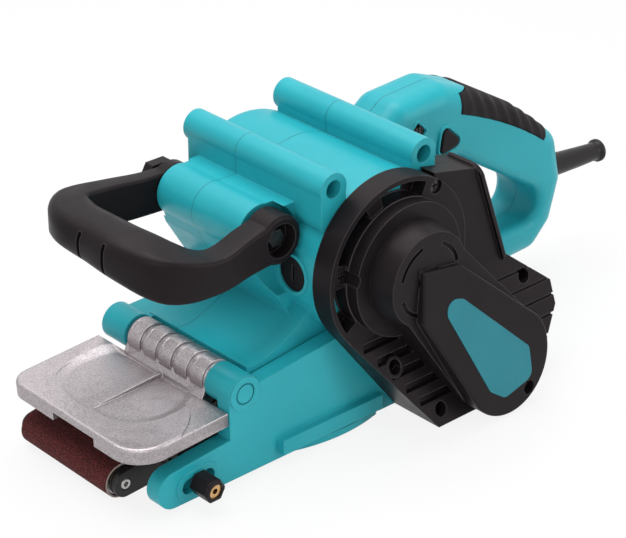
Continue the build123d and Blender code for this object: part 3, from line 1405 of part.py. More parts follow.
def handle_knob():
    face = Circle(KNOB_R - KNOB_LOBE_R)
    lobe = Pos(KNOB_R - KNOB_LOBE_R, 0) * Circle(KNOB_LOBE_R)
    for place in PolarLocations(0, KNOB_LOBES):
        face += place * lobe
    knob = y_prism(Pos(*BOSS) * face, KNOB_NEAR + KNOB_NECK, KNOB_FAR)
    knob += y_rod(BOSS, KNOB_NECK_R, KNOB_NEAR, KNOB_NEAR + KNOB_NECK)
    return knob - y_rod(BOSS, BOLT_R + RUNNING_FIT, KNOB_NEAR, KNOB_FAR)


# Tracking adjuster


def tracking_knob():
    knob = hexagon_rod(TRACK, TRACK_HEX_R, TRACK_NEAR, TRACK_FAR, TRACK_HEX_ROUND)
    knob = chamfer(knob.faces().sort_by(Axis.Y)[0].edges(), TRACK_CHAMFER)
    insert_end = TRACK_NEAR + INSERT_SINK + INSERT_LENGTH
    knob -= y_rod(TRACK, INSERT_R, TRACK_NEAR, insert_end)
    return knob - y_rod(TRACK, TRACK_SCREW_R, insert_end, TRACK_FAR)


def tracking_insert():
    near = TRACK_NEAR + INSERT_SINK
    return y_ring(TRACK, INSERT_R, INSERT_HOLE_R, near, near + INSERT_LENGTH)


def tracking_screw():
    return y_rod(TRACK, TRACK_SCREW_R, TRACK_NEAR + INSERT_SINK + INSERT_LENGTH, TRACK_SCREW_TIP)


# Build every piece, then write one file for each

PIECES = {
    "sanding_belt": sanding_belt,
    "front_roller": front_roller,
    "front_bushes": front_bushes,
    "front_axle": front_axle,
    "roller_yoke": roller_yoke,
    "tension_spring": tension_spring,
    "belt_frame": belt_frame,
    "frame_screws": frame_screws,
    "platen": platen,
    "platen_pad": platen_pad,
    "tension_lever": tension_lever,
    "lever_pin": lever_pin,
    "drive_roller": drive_roller,
    "drive_tyre": drive_tyre,
    "drive_shaft": drive_shaft,
    "shaft_bearings": shaft_bearings,
    "driven_pulley": driven_pulley,
    "motor_pulley": motor_pulley,
    "shaft_nut": shaft_nut,
    "drive_belt": drive_belt,
    "rotor_shaft": rotor_shaft,
    "armature": armature,
    "armature_winding": armature_winding,
    "commutator": commutator,
    "fan": fan,
    "motor_bearings": motor_bearings,
    "field_core": field_core,
    "field_coils": field_coils,
    "carbon_brushes": carbon_brushes,
    "brush_holders": brush_holders,
    "brush_springs": brush_springs,
    "brush_caps": brush_caps,
    "grip_pad": grip_pad,
    "trigger": trigger,
    "lock_button": lock_button,
    "speed_dial": speed_dial,
    "switch_module": switch_module,
    "cord_sleeve": cord_sleeve,
    "housing_screws": housing_screws,
    "fan_cover": fan_cover,
    "drive_cover": drive_cover,
    "badge": badge,
    "cover_screws": cover_screws,
    "front_lid": front_lid,
    "lid_pin": lid_pin,
    "front_handle": front_handle,
    "handle_bolt": handle_bolt,
    "handle_knob": handle_knob,
    "tracking_knob": tracking_knob,
    "tracking_insert": tracking_insert,
    "tracking_screw": tracking_screw,
}

os.makedirs("parts", exist_ok=True)
for name, make in PIECES.items():
    export_step(make(), f"parts/{name}.step")

whole = housing() - grip_pad()
export_step(split(whole, bisect_by=Plane.XZ, keep=Keep.TOP), "parts/housing_near.step")
export_step(split(whole, bisect_by=Plane.XZ, keep=Keep.BOTTOM), "parts/housing_far.step")
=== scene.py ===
# %% [markdown]
# # A belt sander, finished in Blender
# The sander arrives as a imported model: every piece is already at its real size and place, in metres, grouped
# into the bodies that move. Nothing here moves or resizes those pieces. What is left to do is what Blender is
# good at: the finish of each surface, the small moulded details, the light and the camera.

# %% Load the packed sander
import json
import math

import bmesh
import bpy
from mathutils import Matrix, Vector
from mathutils.bvhtree import BVHTree


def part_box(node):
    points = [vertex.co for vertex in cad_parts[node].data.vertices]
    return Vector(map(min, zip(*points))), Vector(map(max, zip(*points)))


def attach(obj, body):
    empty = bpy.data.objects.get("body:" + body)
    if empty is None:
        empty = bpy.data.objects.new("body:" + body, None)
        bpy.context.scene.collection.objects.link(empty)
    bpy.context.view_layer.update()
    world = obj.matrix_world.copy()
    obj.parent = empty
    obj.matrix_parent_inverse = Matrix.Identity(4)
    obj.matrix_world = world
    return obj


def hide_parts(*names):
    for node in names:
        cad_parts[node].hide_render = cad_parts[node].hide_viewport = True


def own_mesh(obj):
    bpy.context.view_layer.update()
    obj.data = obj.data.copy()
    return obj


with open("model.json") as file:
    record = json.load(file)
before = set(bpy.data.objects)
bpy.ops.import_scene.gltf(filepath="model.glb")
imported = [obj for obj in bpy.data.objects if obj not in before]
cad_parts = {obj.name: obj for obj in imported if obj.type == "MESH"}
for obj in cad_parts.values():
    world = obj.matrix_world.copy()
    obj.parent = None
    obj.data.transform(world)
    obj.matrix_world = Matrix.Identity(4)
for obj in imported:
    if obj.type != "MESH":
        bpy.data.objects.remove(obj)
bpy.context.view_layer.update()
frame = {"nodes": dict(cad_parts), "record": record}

nodes = frame["nodes"]
record = frame["record"]

# %% [markdown]
# ## The camera
# A product photograph is taken from far away with a long lens, so that parallel edges stay nearly parallel.
# The viewing angle was worked out from the belt, whose width and roller distance are known. A camera looks
# along its own -Z axis with +Y up, so its turn is built from the three directions of the picture.

# %% Camera at the photograph's viewing angle
MM = 0.001
EYE = Vector((-719.8, -873.1, 680.3)) * MM
PICTURE_RIGHT = Vector((0.742, -0.671, 0.0))
PICTURE_UP = Vector((0.312, 0.345, 0.885))
LENS_MM = 132.3
SENSOR_MM = 36.0
SIGHT_END = 50.0


def placed(name, data):
    """A new object in the scene, made from its data."""
    thing = bpy.data.objects.new(name, data)
    bpy.context.scene.collection.objects.link(thing)
    return thing


def make_camera():
    right = PICTURE_RIGHT.normalized()
    back = right.cross(PICTURE_UP).normalized()
    up = back.cross(right)
    data = bpy.data.cameras.new("camera")
    data.lens = LENS_MM
    data.sensor_width = SENSOR_MM
    data.clip_end = SIGHT_END
    camera = placed("camera", data)
    turn = Matrix((right, up, back)).transposed().to_4x4()
    camera.matrix_world = Matrix.Translation(EYE) @ turn
    bpy.context.scene.camera = camera
    return camera


camera = make_camera()
print("camera at", [round(x, 3) for x in camera.location])

# %% [markdown]
# ## The light
# The photograph looks lit by large soft boxes in a white studio: a strong one overhead, and weaker ones
# beyond the camera's left shoulder and on the right. Large lamps give the slow gradients that show the form
# of satin plastic. The level is plain, so that a colour renders about as it is written.

# %% Soft boxes: place, width and height in metres, and power in watts
MIDDLE = Vector((0.05, -0.02, 0.07))
SOFT_BOXES = {
    "overhead_box": ((0.05, 0.25, 1.25), (1.3, 1.0), 17.0),
    "front_box": ((-1.10, -0.75, 0.75), (0.8, 0.8), 5.0),
    "side_box": ((0.75, -1.20, 0.55), (0.6, 0.9), 6.0),
}


def soft_box(name, place, size, power):
    data = bpy.data.lights.new(name, "AREA")
    data.shape = "RECTANGLE"
    data.size, data.size_y = size
    data.energy = power
    lamp = placed(name, data)
    lamp.location = place
    lamp.rotation_euler = (MIDDLE - Vector(place)).to_track_quat("-Z", "Y").to_euler()


for name, (place, size, power) in SOFT_BOXES.items():
    soft_box(name, place, size, power)
print("soft boxes:", ", ".join(SOFT_BOXES))

# %% [markdown]
# ## The white surroundings
# The background of the photograph is plain white. A world that simply shone that white would bleach the
# object. So the world is white to the camera and to reflections, and dimmer as a source of light. The Light
# Path node tells the two apart. A small helper adds each node and fills its inputs in one line.

# %% A world that is white to look at
AMBIENT = 0.26
WHITE = 1.0


def add(tree, kind, inputs=None, **settings):
    """Adds a node. Inputs are values or sockets, by name or number, and settings are the node's own."""
    node = tree.nodes.new("ShaderNode" + kind)
    for name, value in settings.items():
        setattr(node, name, value)
    for name, value in (inputs or {}).items():
        if isinstance(value, bpy.types.NodeSocket):
            tree.links.new(value, node.inputs[name])
        else:
            node.inputs[name].default_value = value
    return node


def seen_directly(tree):
    """A socket that is 1 for what the camera sees, straight or through a reflection."""
    path = add(tree, "LightPath").outputs
    seen = path["Is Camera Ray"]
    for name in ("Is Glossy Ray", "Is Transmission Ray"):
        seen = add(tree, "Math", {0: seen, 1: path[name]}, operation="MAXIMUM").outputs[0]
    return seen


def make_world():
    world = bpy.data.worlds.new("white_studio")
    world.use_nodes = True
    tree = world.node_tree
    level = add(tree, "MapRange", {"Value": seen_directly(tree), "To Min": AMBIENT, "To Max": WHITE})
    background = tree.nodes["Background"]
    background.inputs["Color"].default_value = (1, 1, 1, 1)
    tree.links.new(level.outputs["Result"], background.inputs["Strength"])
    bpy.context.scene.world = world


make_world()
bpy.context.scene.view_settings.view_transform = "Standard"
print("world:", bpy.context.scene.world.name)

# %% [markdown]
# ## The floor
# A white sheet in a studio melts into the background and still takes a soft shadow. The floor mixes its own
# white with the light that falls on it, so both show. It lies a hair under the belt, so that the two don't
# share a plane.

# %% Pale floor
FLOOR_HALF = 12.0
FLOOR_DROP = 0.0004
FLOOR_GREY = 0.9
FLOOR_WHITE = 0.86


def make_floor():
    mesh = bpy.data.meshes.new("floor")
    signs = ((-1, -1), (1, -1), (1, 1), (-1, 1))
    mesh.from_pydata([(x * FLOOR_HALF, y * FLOOR_HALF, -FLOOR_DROP) for x, y in signs], [], [(0, 1, 2, 3)])
    material = bpy.data.materials.new("pale_floor")
    material.use_nodes = True
    tree = material.node_tree
    tree.nodes.remove(tree.nodes["Principled BSDF"])
    lit = add(tree, "BsdfDiffuse", {"Color": (FLOOR_GREY, FLOOR_GREY, FLOOR_GREY, 1)})
    white = add(tree, "Emission", {"Strength": WHITE})
    share = add(tree, "Math", {0: seen_directly(tree), 1: FLOOR_WHITE}, operation="MULTIPLY")
    mix = add(tree, "MixShader", {0: share.outputs[0], 1: lit.outputs[0], 2: white.outputs[0]})
    tree.links.new(mix.outputs[0], tree.nodes["Material Output"].inputs["Surface"])
    mesh.materials.append(material)
    floor = placed("floor", mesh)
    return floor


floor = make_floor()
print(floor.name, 2 * FLOOR_HALF, "m across")

# %% [markdown]
# ## Helpers for materials
# Every finish is a small tree of nodes around one Principled shader. It could be drawn by hand in the shader
# editor, but a few helpers make it short to read: a noise that is measured in millimetres, a stretch of its
# values, a blend of two colours, and a bump. The Mix node keeps sockets for several kinds of data, so the
# colour ones are picked by number.

# %% Noise, stretch, blend and bump
MIX_SHARE, MIX_FIRST, MIX_SECOND = 0, 6, 7
MIX_RESULT = 2
finish = {}


def begin(name, roughness, metallic=0.0):
    """A new finish under the name of its slot, with its node tree and its shader."""
    material = bpy.data.materials.new(name)
    material.use_nodes = True
    finish[name] = material
    tree = material.node_tree
    shader = tree.nodes["Principled BSDF"]
    shader.inputs["Roughness"].default_value = roughness
    shader.inputs["Metallic"].default_value = metallic
    return tree, shader


def wired(tree, shader, sockets):
    for name, socket in sockets.items():
        tree.links.new(socket, shader.inputs[name])


def frame_place(tree):
    return add(tree, "TexCoord").outputs["Object"]


def grain(tree, size_mm, detail, roughness=0.5):
    """Noise whose lumps are about that many millimetres across."""
    scale = 1.0 / (size_mm * MM)
    inputs = {"Vector": frame_place(tree), "Scale": scale, "Detail": detail, "Roughness": roughness}
    return add(tree, "TexNoise", inputs).outputs["Fac"]


def spread(tree, value, low, high, start=0.3, end=0.7):
    """Stretches a value from a band, which is a noise's usual one, to the range low to high."""
    inputs = {"Value": value, "From Min": start, "From Max": end, "To Min": low, "To Max": high}
    return add(tree, "MapRange", inputs).outputs["Result"]


def uneven(tree, roughness, swing, size_mm, detail):
    """A roughness that drifts in patches of that size."""
    return spread(tree, grain(tree, size_mm, detail), roughness + swing[0], roughness + swing[1])


def mixed(tree, share, first, second):
    """Blends two colours, each a colour or a socket, by a share from 0 to 1."""
    ends = [end if isinstance(end, bpy.types.NodeSocket) else (*end, 1) for end in (first, second)]
    inputs = {MIX_SHARE: share, MIX_FIRST: ends[0], MIX_SECOND: ends[1]}
    return add(tree, "Mix", inputs, data_type="RGBA", clamp_factor=True).outputs[MIX_RESULT]


def bumped(tree, height, depth_mm, strength, normal=None):
    inputs = {"Height": height, "Distance": depth_mm * MM, "Strength": strength}
    if normal is not None:
        inputs["Normal"] = normal
    return add(tree, "Bump", inputs).outputs["Normal"]


print("node helpers ready")

# %% [markdown]
# ## Edges that catch the light
# A moulded edge always has a tiny radius that catches the light. It could be modelled on every edge, at the
# cost of many faces. The Bevel node bends the shading normal near an edge as if that radius were there, and
# the angle between the bent and the true normal also tells where the edges are. There the colour is painted
# paler, partly for scuffing and partly as a painted highlight where the edge catches the light.

# %% Rounded edges and where they are
BEVEL_SAMPLES = 6
EDGE_BAND = (0.70, 0.99)


def rounded_normal(tree, radius_mm):
    return add(tree, "Bevel", {"Radius": radius_mm * MM}, samples=BEVEL_SAMPLES).outputs["Normal"]


def edge_share(tree, rounded, strength):
    """The strength along edges, and 0 on open faces."""
    true_normal = add(tree, "NewGeometry").outputs["Normal"]
    likeness = add(tree, "VectorMath", {0: rounded, 1: true_normal}, operation="DOT_PRODUCT")
    return spread(tree, likeness.outputs["Value"], strength, 0.0, *EDGE_BAND)


def size_across(tree, vector):
    """The size of a vector's Y part, without its sign."""
    across = add(tree, "SeparateXYZ", {"Vector": vector}).outputs["Y"]
    return add(tree, "Math", {0: across}, operation="ABSOLUTE").outputs[0]


print("edge helpers ready")

# %% [markdown]
# ## Moulded plastic
# Both the teal housing and the black covers are moulded. Such plastic isn't one flat colour: the flow of the
# melt leaves slow, faint drifts of tone, the mould's spark-eroded skin leaves a fine grain, and the edges are
# painted a little paler, partly for scuffing and partly as a painted highlight. One function makes all the
# plastics from those three things. A grained skin also reflects less than a polished one, so its specular
# level is set well below the usual half. The housing is two half shells, and dust marks the line where they
# meet, so the teal also gets a hair-thin darker line.

# %% Moulded plastics
TEAL = (0.025, 0.415, 0.482)
TEAL_SHADE = (0.019, 0.380, 0.443)
# Paler teal for the edges: scuffing and a painted highlight.
TEAL_SCUFFED_AND_LIT = (0.110, 0.540, 0.600)
TEAL_SEAM = (0.010, 0.210, 0.250)
# The third black tone colours the edges: scuffing and a painted highlight.
BLACK_TONES = ((0.0140, 0.0116, 0.0126), (0.0100, 0.0083, 0.0092), (0.120, 0.106, 0.112))
WARM_SHEEN = (1.0, 0.84, 0.89)
SEAM_BAND = (0.152 * MM, 0.38 * MM)
DRIFT_MM = 45.0
GLOSS_PATCH_MM = 9.0
PLASTIC_SWING = (-0.05, 0.07)
SKIN_DEEP_MM = 0.12


def parting_line(tree):
    """1 in a hair-thin band where the two half shells meet, at y = 0."""
    return spread(tree, size_across(tree, frame_place(tree)), 1.0, 0.0, *SEAM_BAND)


def moulded_plastic(
    name, colour, shade, scuffed_and_lit, roughness, grain_mm, grain_strength,
    edge_mm=0.7, scuff_and_highlight=0.5, gloss=0.3, sheen=(1.0, 1.0, 1.0), seam=None,
):
    tree, shader = begin(name, roughness)
    shader.inputs["Specular IOR Level"].default_value = gloss
    shader.inputs["Specular Tint"].default_value = (*sheen, 1)
    drift = spread(tree, grain(tree, DRIFT_MM, detail=3.0), 0.0, 1.0)
    skin = grain(tree, grain_mm, detail=3.0)
    rounded = rounded_normal(tree, edge_mm)
    body = mixed(tree, drift, shade, colour)
    # The edges are painted paler: partly scuffing, partly a painted highlight.
    body = mixed(tree, edge_share(tree, rounded, scuff_and_highlight), body, scuffed_and_lit)
    if seam is not None:
        body = mixed(tree, parting_line(tree), body, seam)
    wired(tree, shader, {
        "Base Color": body,
        "Roughness": uneven(tree, roughness, PLASTIC_SWING, GLOSS_PATCH_MM, detail=4.0),
        "Normal": bumped(tree, skin, SKIN_DEEP_MM, grain_strength, rounded),
    })


moulded_plastic(
    "teal_plastic", TEAL, TEAL_SHADE, TEAL_SCUFFED_AND_LIT, roughness=0.36, grain_mm=0.8, grain_strength=0.10,
    gloss=0.24, seam=TEAL_SEAM,
)
# The black's edges are painted much paler: mostly a painted highlight along them, with some scuffing.
moulded_plastic(
    "black_plastic", *BLACK_TONES, roughness=0.40, grain_mm=0.7, grain_strength=0.22,
    edge_mm=0.9, scuff_and_highlight=0.9, gloss=0.11, sheen=WARM_SHEEN,
)
moulded_plastic("black_enamel", *BLACK_TONES, roughness=0.38, grain_mm=1.2, grain_strength=0.15)
print("plastics:", ", ".join(finish))

# %% [markdown]
# ## Rubber
# The grip pad, the cord boot, the roller's tyre and the drive band are rubber: darker and flatter than
# plastic, with a coarser skin. The same function makes them, because a rubber skin is moulded too.

# %% Rubbers
# The third rubber tone paints the edges: scuffing and a painted highlight.
RUBBER_TONES = ((0.019, 0.0162, 0.0172), (0.012, 0.0102, 0.0110), (0.060, 0.056, 0.056))
RUBBERS = {
    "soft_grip": dict(roughness=0.62, grain_mm=1.3, grain_strength=0.55, edge_mm=0.6, gloss=0.12),
    "boot_rubber": dict(roughness=0.34, grain_mm=1.0, grain_strength=0.12, edge_mm=0.6, gloss=0.2),
    "tyre_rubber": dict(roughness=0.70, grain_mm=0.6, grain_strength=0.40, edge_mm=0.4),
    "band_rubber": dict(roughness=0.60, grain_mm=0.9, grain_strength=0.30, edge_mm=0.3),
}
# How strongly the edges are painted paler: scuffing and a painted highlight.
RUBBER_SCUFF_AND_HIGHLIGHT = 0.3

for name, skin in RUBBERS.items():
    moulded_plastic(name, *RUBBER_TONES, scuff_and_highlight=RUBBER_SCUFF_AND_HIGHLIGHT, **skin)
print("rubbers:", ", ".join(RUBBERS))

# %% [markdown]
# ## Cast metals
# The lid is a raw die casting, blasted to an even, sparkling grain. Its edges are painted bright, partly as
# rubbed metal and partly as a painted highlight. Two noises give the grain, one in the colour and a finer one
# in the bump, and the edge helper finds the edges that are painted bright. The motor's stacked sheets get the
# same finish, darker.

# %% Cast metals: colour, shade, edge colour for rubbing and painted highlight, roughness, grain in mm and its strength
CAST_METALS = {
    "cast_aluminium": ((0.49, 0.448, 0.462), (0.28, 0.254, 0.264), (0.82, 0.77, 0.78), 0.44, 0.9, 0.28),
    "lamination_steel": ((0.20, 0.19, 0.18), (0.12, 0.115, 0.11), (0.30, 0.29, 0.28), 0.50, 0.5, 0.25),
}
SPECKLE_BAND = (0.35, 0.65)
SPECKLE_ROUGH = 0.7
CAST_EDGE_MM = 0.6
# How strongly the edges are painted bright: rubbed metal and a painted highlight.
RUBBED_AND_LIT = 0.9
CAST_PATCH_MM = 6.0
CAST_SWING = (-0.06, 0.10)
BLAST_SHARE = 0.8
BLAST_DEEP_MM = 0.15


def cast_metal(name, colour, shade, polish_and_highlight, roughness, grain_mm, grain_strength):
    tree, shader = begin(name, roughness, metallic=1.0)
    coarse = grain(tree, grain_mm, detail=3.0, roughness=SPECKLE_ROUGH)
    blasted = grain(tree, grain_mm * BLAST_SHARE, detail=3.0)
    body = mixed(tree, spread(tree, coarse, 0.0, 1.0, *SPECKLE_BAND), shade, colour)
    rounded = rounded_normal(tree, CAST_EDGE_MM)
    # The edges are painted bright: partly rubbed metal, partly a painted highlight.
    wired(tree, shader, {
        "Base Color": mixed(tree, edge_share(tree, rounded, RUBBED_AND_LIT), body, polish_and_highlight),
        "Roughness": uneven(tree, roughness, CAST_SWING, CAST_PATCH_MM, detail=4.0),
        "Normal": bumped(tree, blasted, BLAST_DEEP_MM, grain_strength, rounded),
    })


for name, metal in CAST_METALS.items():
    cast_metal(name, *metal)
print("cast metals:", ", ".join(CAST_METALS))

# %% [markdown]
# ## Turned metals
# Pins, shafts, rings and screws are turned or drawn, so they are smoother than a casting, with faint stains
# and a fine trace of the tool. Blackened screws are the darkest. They differ only in colour and roughness, so
# one table holds them.

# %% Turned metals: colour, shade and roughness
TURNED_METALS = {
    "steel": ((0.52, 0.51, 0.50), (0.36, 0.35, 0.34), 0.30),
    "screw_steel": ((0.085, 0.080, 0.080), (0.050, 0.047, 0.047), 0.38),
    "spring_steel": ((0.40, 0.40, 0.41), (0.28, 0.28, 0.29), 0.32),
    "bearing_steel": ((0.55, 0.55, 0.55), (0.42, 0.42, 0.42), 0.25),
    "copper": ((0.62, 0.27, 0.13), (0.45, 0.18, 0.09), 0.35),
    "brass": ((0.72, 0.45, 0.20), (0.50, 0.30, 0.12), 0.28),
    "pulley_aluminium": ((0.60, 0.60, 0.61), (0.45, 0.45, 0.46), 0.33),
}
STAIN_MM = 4.0
TURNED_PATCH_MM = 1.5
TURNED_SWING = (-0.06, 0.08)
TURNED_EDGE_MM = 0.3
TOOL_TRACE_MM = 0.35
TOOL_DEEP_MM = 0.03
TOOL_STRENGTH = 0.25


def turned_metal(name, colour, shade, roughness):
    tree, shader = begin(name, roughness, metallic=1.0)
    stain = spread(tree, grain(tree, STAIN_MM, detail=4.0), 0.0, 1.0)
    trace = grain(tree, TOOL_TRACE_MM, detail=2.0)
    rounded = rounded_normal(tree, TURNED_EDGE_MM)
    wired(tree, shader, {
        "Base Color": mixed(tree, stain, shade, colour),
        "Roughness": uneven(tree, roughness, TURNED_SWING, TURNED_PATCH_MM, detail=3.0),
        "Normal": bumped(tree, trace, TOOL_DEEP_MM, TOOL_STRENGTH, rounded),
    })


for name, metal in TURNED_METALS.items():
    turned_metal(name, *metal)
print("turned metals:", ", ".join(TURNED_METALS))

# %% [markdown]
# ## The abrasive belt
# The belt is cloth with grains of brown oxide set in resin. Seen close, the grains are dark lumps with paler,
# redder resin between them and here and there a bright facet. A cell texture gives the lumps, and a second,
# finer noise gives the sparkle. The cut edges of the cloth face sideways, and show its pale fibres.

# %% Abrasive cloth
CLOTH_ROUGH = 0.75
CLOTH_GLOSS = 0.12
GRAINS_PER_METRE = 1500.0
GRAIN_BAND = (0.1, 0.6)
GRAIN_DARK = (0.045, 0.012, 0.012)
RESIN = ((0.205, 0.033, 0.035), (0.262, 0.047, 0.049))
RESIN_PATCH_MM = 14.0
GLINT = (0.36, 0.17, 0.17)
GLINT_MM = 0.5
GLINT_BAND = (0.68, 0.74)
CLOTH_EDGE = (0.50, 0.42, 0.36)
CLOTH_EDGE_SHARE = 0.9
SIDEWAYS_BAND = (0.6, 0.8)


def abrasive_cloth(name):
    tree, shader = begin(name, CLOTH_ROUGH)
    shader.inputs["Specular IOR Level"].default_value = CLOTH_GLOSS
    inputs = {"Vector": frame_place(tree), "Scale": GRAINS_PER_METRE, "Randomness": 1.0}
    cells = add(tree, "TexVoronoi", inputs, feature="F1")
    lumps = spread(tree, cells.outputs["Distance"], 1.0, 0.0, *GRAIN_BAND)
    patches = spread(tree, grain(tree, RESIN_PATCH_MM, detail=3.0), 0.0, 1.0)
    colour = mixed(tree, lumps, GRAIN_DARK, mixed(tree, patches, *RESIN))
    glint = spread(tree, grain(tree, GLINT_MM, detail=1.0), 0.0, 1.0, *GLINT_BAND)
    colour = mixed(tree, glint, colour, GLINT)
    sideways = size_across(tree, add(tree, "NewGeometry").outputs["Normal"])
    frayed = spread(tree, sideways, 0.0, CLOTH_EDGE_SHARE, *SIDEWAYS_BAND)
    wired(tree, shader, {
        "Base Color": mixed(tree, frayed, colour, CLOTH_EDGE),
        "Normal": bumped(tree, lumps, depth_mm=0.25, strength=0.7),
    })


abrasive_cloth("abrasive_cloth")
print("belt:", finish["abrasive_cloth"].name)

# %% [markdown]
# ## The small finishes
# Four small pieces have a finish of their own: the slippery pad under the belt, the carbon brushes, the inlay
# in the drive cover and the speed dial. All are moulded or pressed, so the plastic's function makes them too.

# %% Pad, brushes, inlay and dial
moulded_plastic(
    "graphite_pad", (0.050, 0.050, 0.052), (0.030, 0.030, 0.032), (0.09, 0.09, 0.09),
    roughness=0.55, grain_mm=0.9, grain_strength=0.4,
)
moulded_plastic(
    "carbon", (0.02, 0.02, 0.02), (0.012, 0.012, 0.012), (0.05, 0.05, 0.05),
    roughness=0.5, grain_mm=0.6, grain_strength=0.3,
)
moulded_plastic(
    "badge_foil", (0.020, 0.235, 0.290), (0.018, 0.212, 0.264), (0.06, 0.30, 0.35),
    roughness=0.34, grain_mm=0.6, grain_strength=0.05, edge_mm=0.4, scuff_and_highlight=0.4, gloss=0.2,
)
moulded_plastic(
    "dial_plastic", (0.040, 0.037, 0.038), (0.028, 0.026, 0.027), (0.12, 0.11, 0.11),
    roughness=0.45, grain_mm=0.7, grain_strength=0.2, edge_mm=0.3, scuff_and_highlight=0.6,
)
print(len(finish), "finishes in all")

# %% [markdown]
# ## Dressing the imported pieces
# The record says which material slot each piece has. The pieces could be picked and dressed one by one, but
# one loop over them dresses them all and misses none.

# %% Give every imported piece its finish
slot_of = {row["node"]: row["material_slot"] for row in record["subparts"]}
for name, piece in nodes.items():
    material = finish[slot_of[name]]
    if not piece.material_slots:
        piece.data.materials.append(material)
    for holder in piece.material_slots:
        holder.material = material
print("dressed", len(nodes), "pieces")

# %% [markdown]
# ## Helpers for new pieces
# Some forms show in the photograph that the imported pieces have only in outline. They come from a few helpers:
# a copy of a imported piece, rings of points skinned into a solid, a solid turned about an axis along Y, and a
# Boolean cut or join. Each modifier is baked at once, so what is left is plain mesh. Sizes of skinned and
# turned solids are millimetres, as in a drawing.

# %% Copy, skin and turn
def copied(name, node):
    """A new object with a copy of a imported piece's mesh."""
    return placed(name, nodes[node].data.copy())


def as_piece(name, bm):
    """A new object from a bmesh, with its faces turned outward."""
    bmesh.ops.recalc_face_normals(bm, faces=bm.faces)
    mesh = bpy.data.meshes.new(name)
    bm.to_mesh(mesh)
    bm.free()
    return placed(name, mesh)


def skinned(name, loops, endless=False):
    """A solid through rings of points, closed by two caps, or by joining the last ring to the first."""
    bm = bmesh.new()
    rings = [[bm.verts.new(Vector(spot) * MM) for spot in loop] for loop in loops]
    if endless:
        rings.append(rings[0])
    else:
        bm.faces.new(rings[0])
        bm.faces.new(rings[-1])
    for first, second in zip(rings, rings[1:]):
        for i in range(len(first)):
            j = (i + 1) % len(first)
            bm.faces.new((first[i], first[j], second[j], second[i]))
    return as_piece(name, bm)


def full_turn(sides):
    return [2 * math.pi * i / sides for i in range(sides)]


def turned(name, x, z, profile, sides=72):
    """A solid turned about an axis along Y. The profile holds pairs of y and radius."""
    turns = full_turn(sides)
    return skinned(name, [[(x + r * math.cos(a), y, z + r * math.sin(a)) for a in turns] for y, r in profile])


print("shape helpers ready")

# %% [markdown]
# ## Carving and dressing
# A Boolean modifier joins or cuts two solids and stays live until it is baked. Dressing gives a new piece its
# finish, marks which of its edges are sharp, and says which body it rides on.

# %% Bake, carve and dress
SHARP = math.radians(32)


def baked(piece):
    """Puts the result of the piece's modifiers into its mesh."""
    graph = bpy.context.evaluated_depsgraph_get()
    mesh = bpy.data.meshes.new_from_object(piece.evaluated_get(graph))
    piece.modifiers.clear()
    piece.data = mesh


def carved(piece, tool, operation):
    """Cuts a tool out of a piece or joins it on, and removes the tool."""
    change = piece.modifiers.new("change", "BOOLEAN")
    change.operation = operation
    change.solver = "EXACT"
    change.object = tool
    baked(piece)
    bpy.data.objects.remove(tool)


def dressed(piece, slot, body, sharp=SHARP):
    """Gives a new piece its finish, its smooth and sharp edges, and the body it rides on."""
    mesh = piece.data
    mesh.materials.clear()
    mesh.materials.append(finish[slot])
    mesh.polygons.foreach_set("use_smooth", [True] * len(mesh.polygons))
    if sharp is not None:
        mesh.set_sharp_from_angle(angle=sharp)
    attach(piece, body)
    return piece


print("carving helpers ready")

# %% [markdown]
# ## The soft grip
# The pad on the rear handle is rubber, moulded over the housing. It came as a plain shell. The real one has
# rounded edges that leave a dark gap round it, and oblique waves that are deep on top and die out down the
# sides. It could be sculpted by hand. Here the shell is copied, turned into even small faces by a voxel
# remesh and softened. Then each outer point is pushed out by a formula for the waves, so it can be changed.

# %% Grip pad with its waves
PAD_FACE = 0.8 * MM
PAD_SOFTENING = 5
GRIP_FRONT = Vector((0.172, 0.0, 0.1505))
GRIP_ALONG = Vector((0.848, 0.0, -0.530))
GRIP_OUT = Vector((0.530, 0.0, 0.848))
GRIP_DEPTH = 0.017
OUTER_FACING = 0.3
WAVE_PITCH = 0.0125
WAVE_HIGH = 0.00065
WAVE_SLANT = 0.75
WAVE_FADE = (0.003, 0.016)
WAVE_START = (0.0, 0.012)
WAVE_END = (0.080, 0.086)


def ramp(value, start, end):
    """0 up to start, 1 from end on, smooth between."""
    share = min(max((value - start) / (end - start), 0.0), 1.0)
    return share * share * (3 - 2 * share)


def wave_height(place):
    """How far the waves lift a point of the grip."""
    along = (place - GRIP_FRONT).dot(GRIP_ALONG)
    down = -(place - GRIP_FRONT).dot(GRIP_OUT)
    phase = 2 * math.pi * (along - WAVE_SLANT * max(down, 0.0)) / WAVE_PITCH
    share = (1 - ramp(down, *WAVE_FADE)) * ramp(along, *WAVE_START) * (1 - ramp(along, *WAVE_END))
    return WAVE_HIGH * share * math.sin(phase)


def make_grip_cover():
    cover = copied("grip_cover", "grip_pad")
    remesh = cover.modifiers.new("even_faces", "REMESH")
    remesh.mode = "VOXEL"
    remesh.voxel_size = PAD_FACE
    soften = cover.modifiers.new("soften", "SMOOTH")
    soften.iterations = PAD_SOFTENING
    baked(cover)
    for point in cover.data.vertices:
        along = (point.co - GRIP_FRONT).dot(GRIP_ALONG)
        core = GRIP_FRONT + GRIP_ALONG * along - GRIP_OUT * GRIP_DEPTH
        if point.normal.dot((point.co - core).normalized()) > OUTER_FACING:
            point.co += point.normal * wave_height(point.co)
    dressed(cover, "soft_grip", "base", sharp=None)
    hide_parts("grip_pad")
    return cover


grip_cover = make_grip_cover()
print("grip cover:", len(grip_cover.data.vertices), "points")

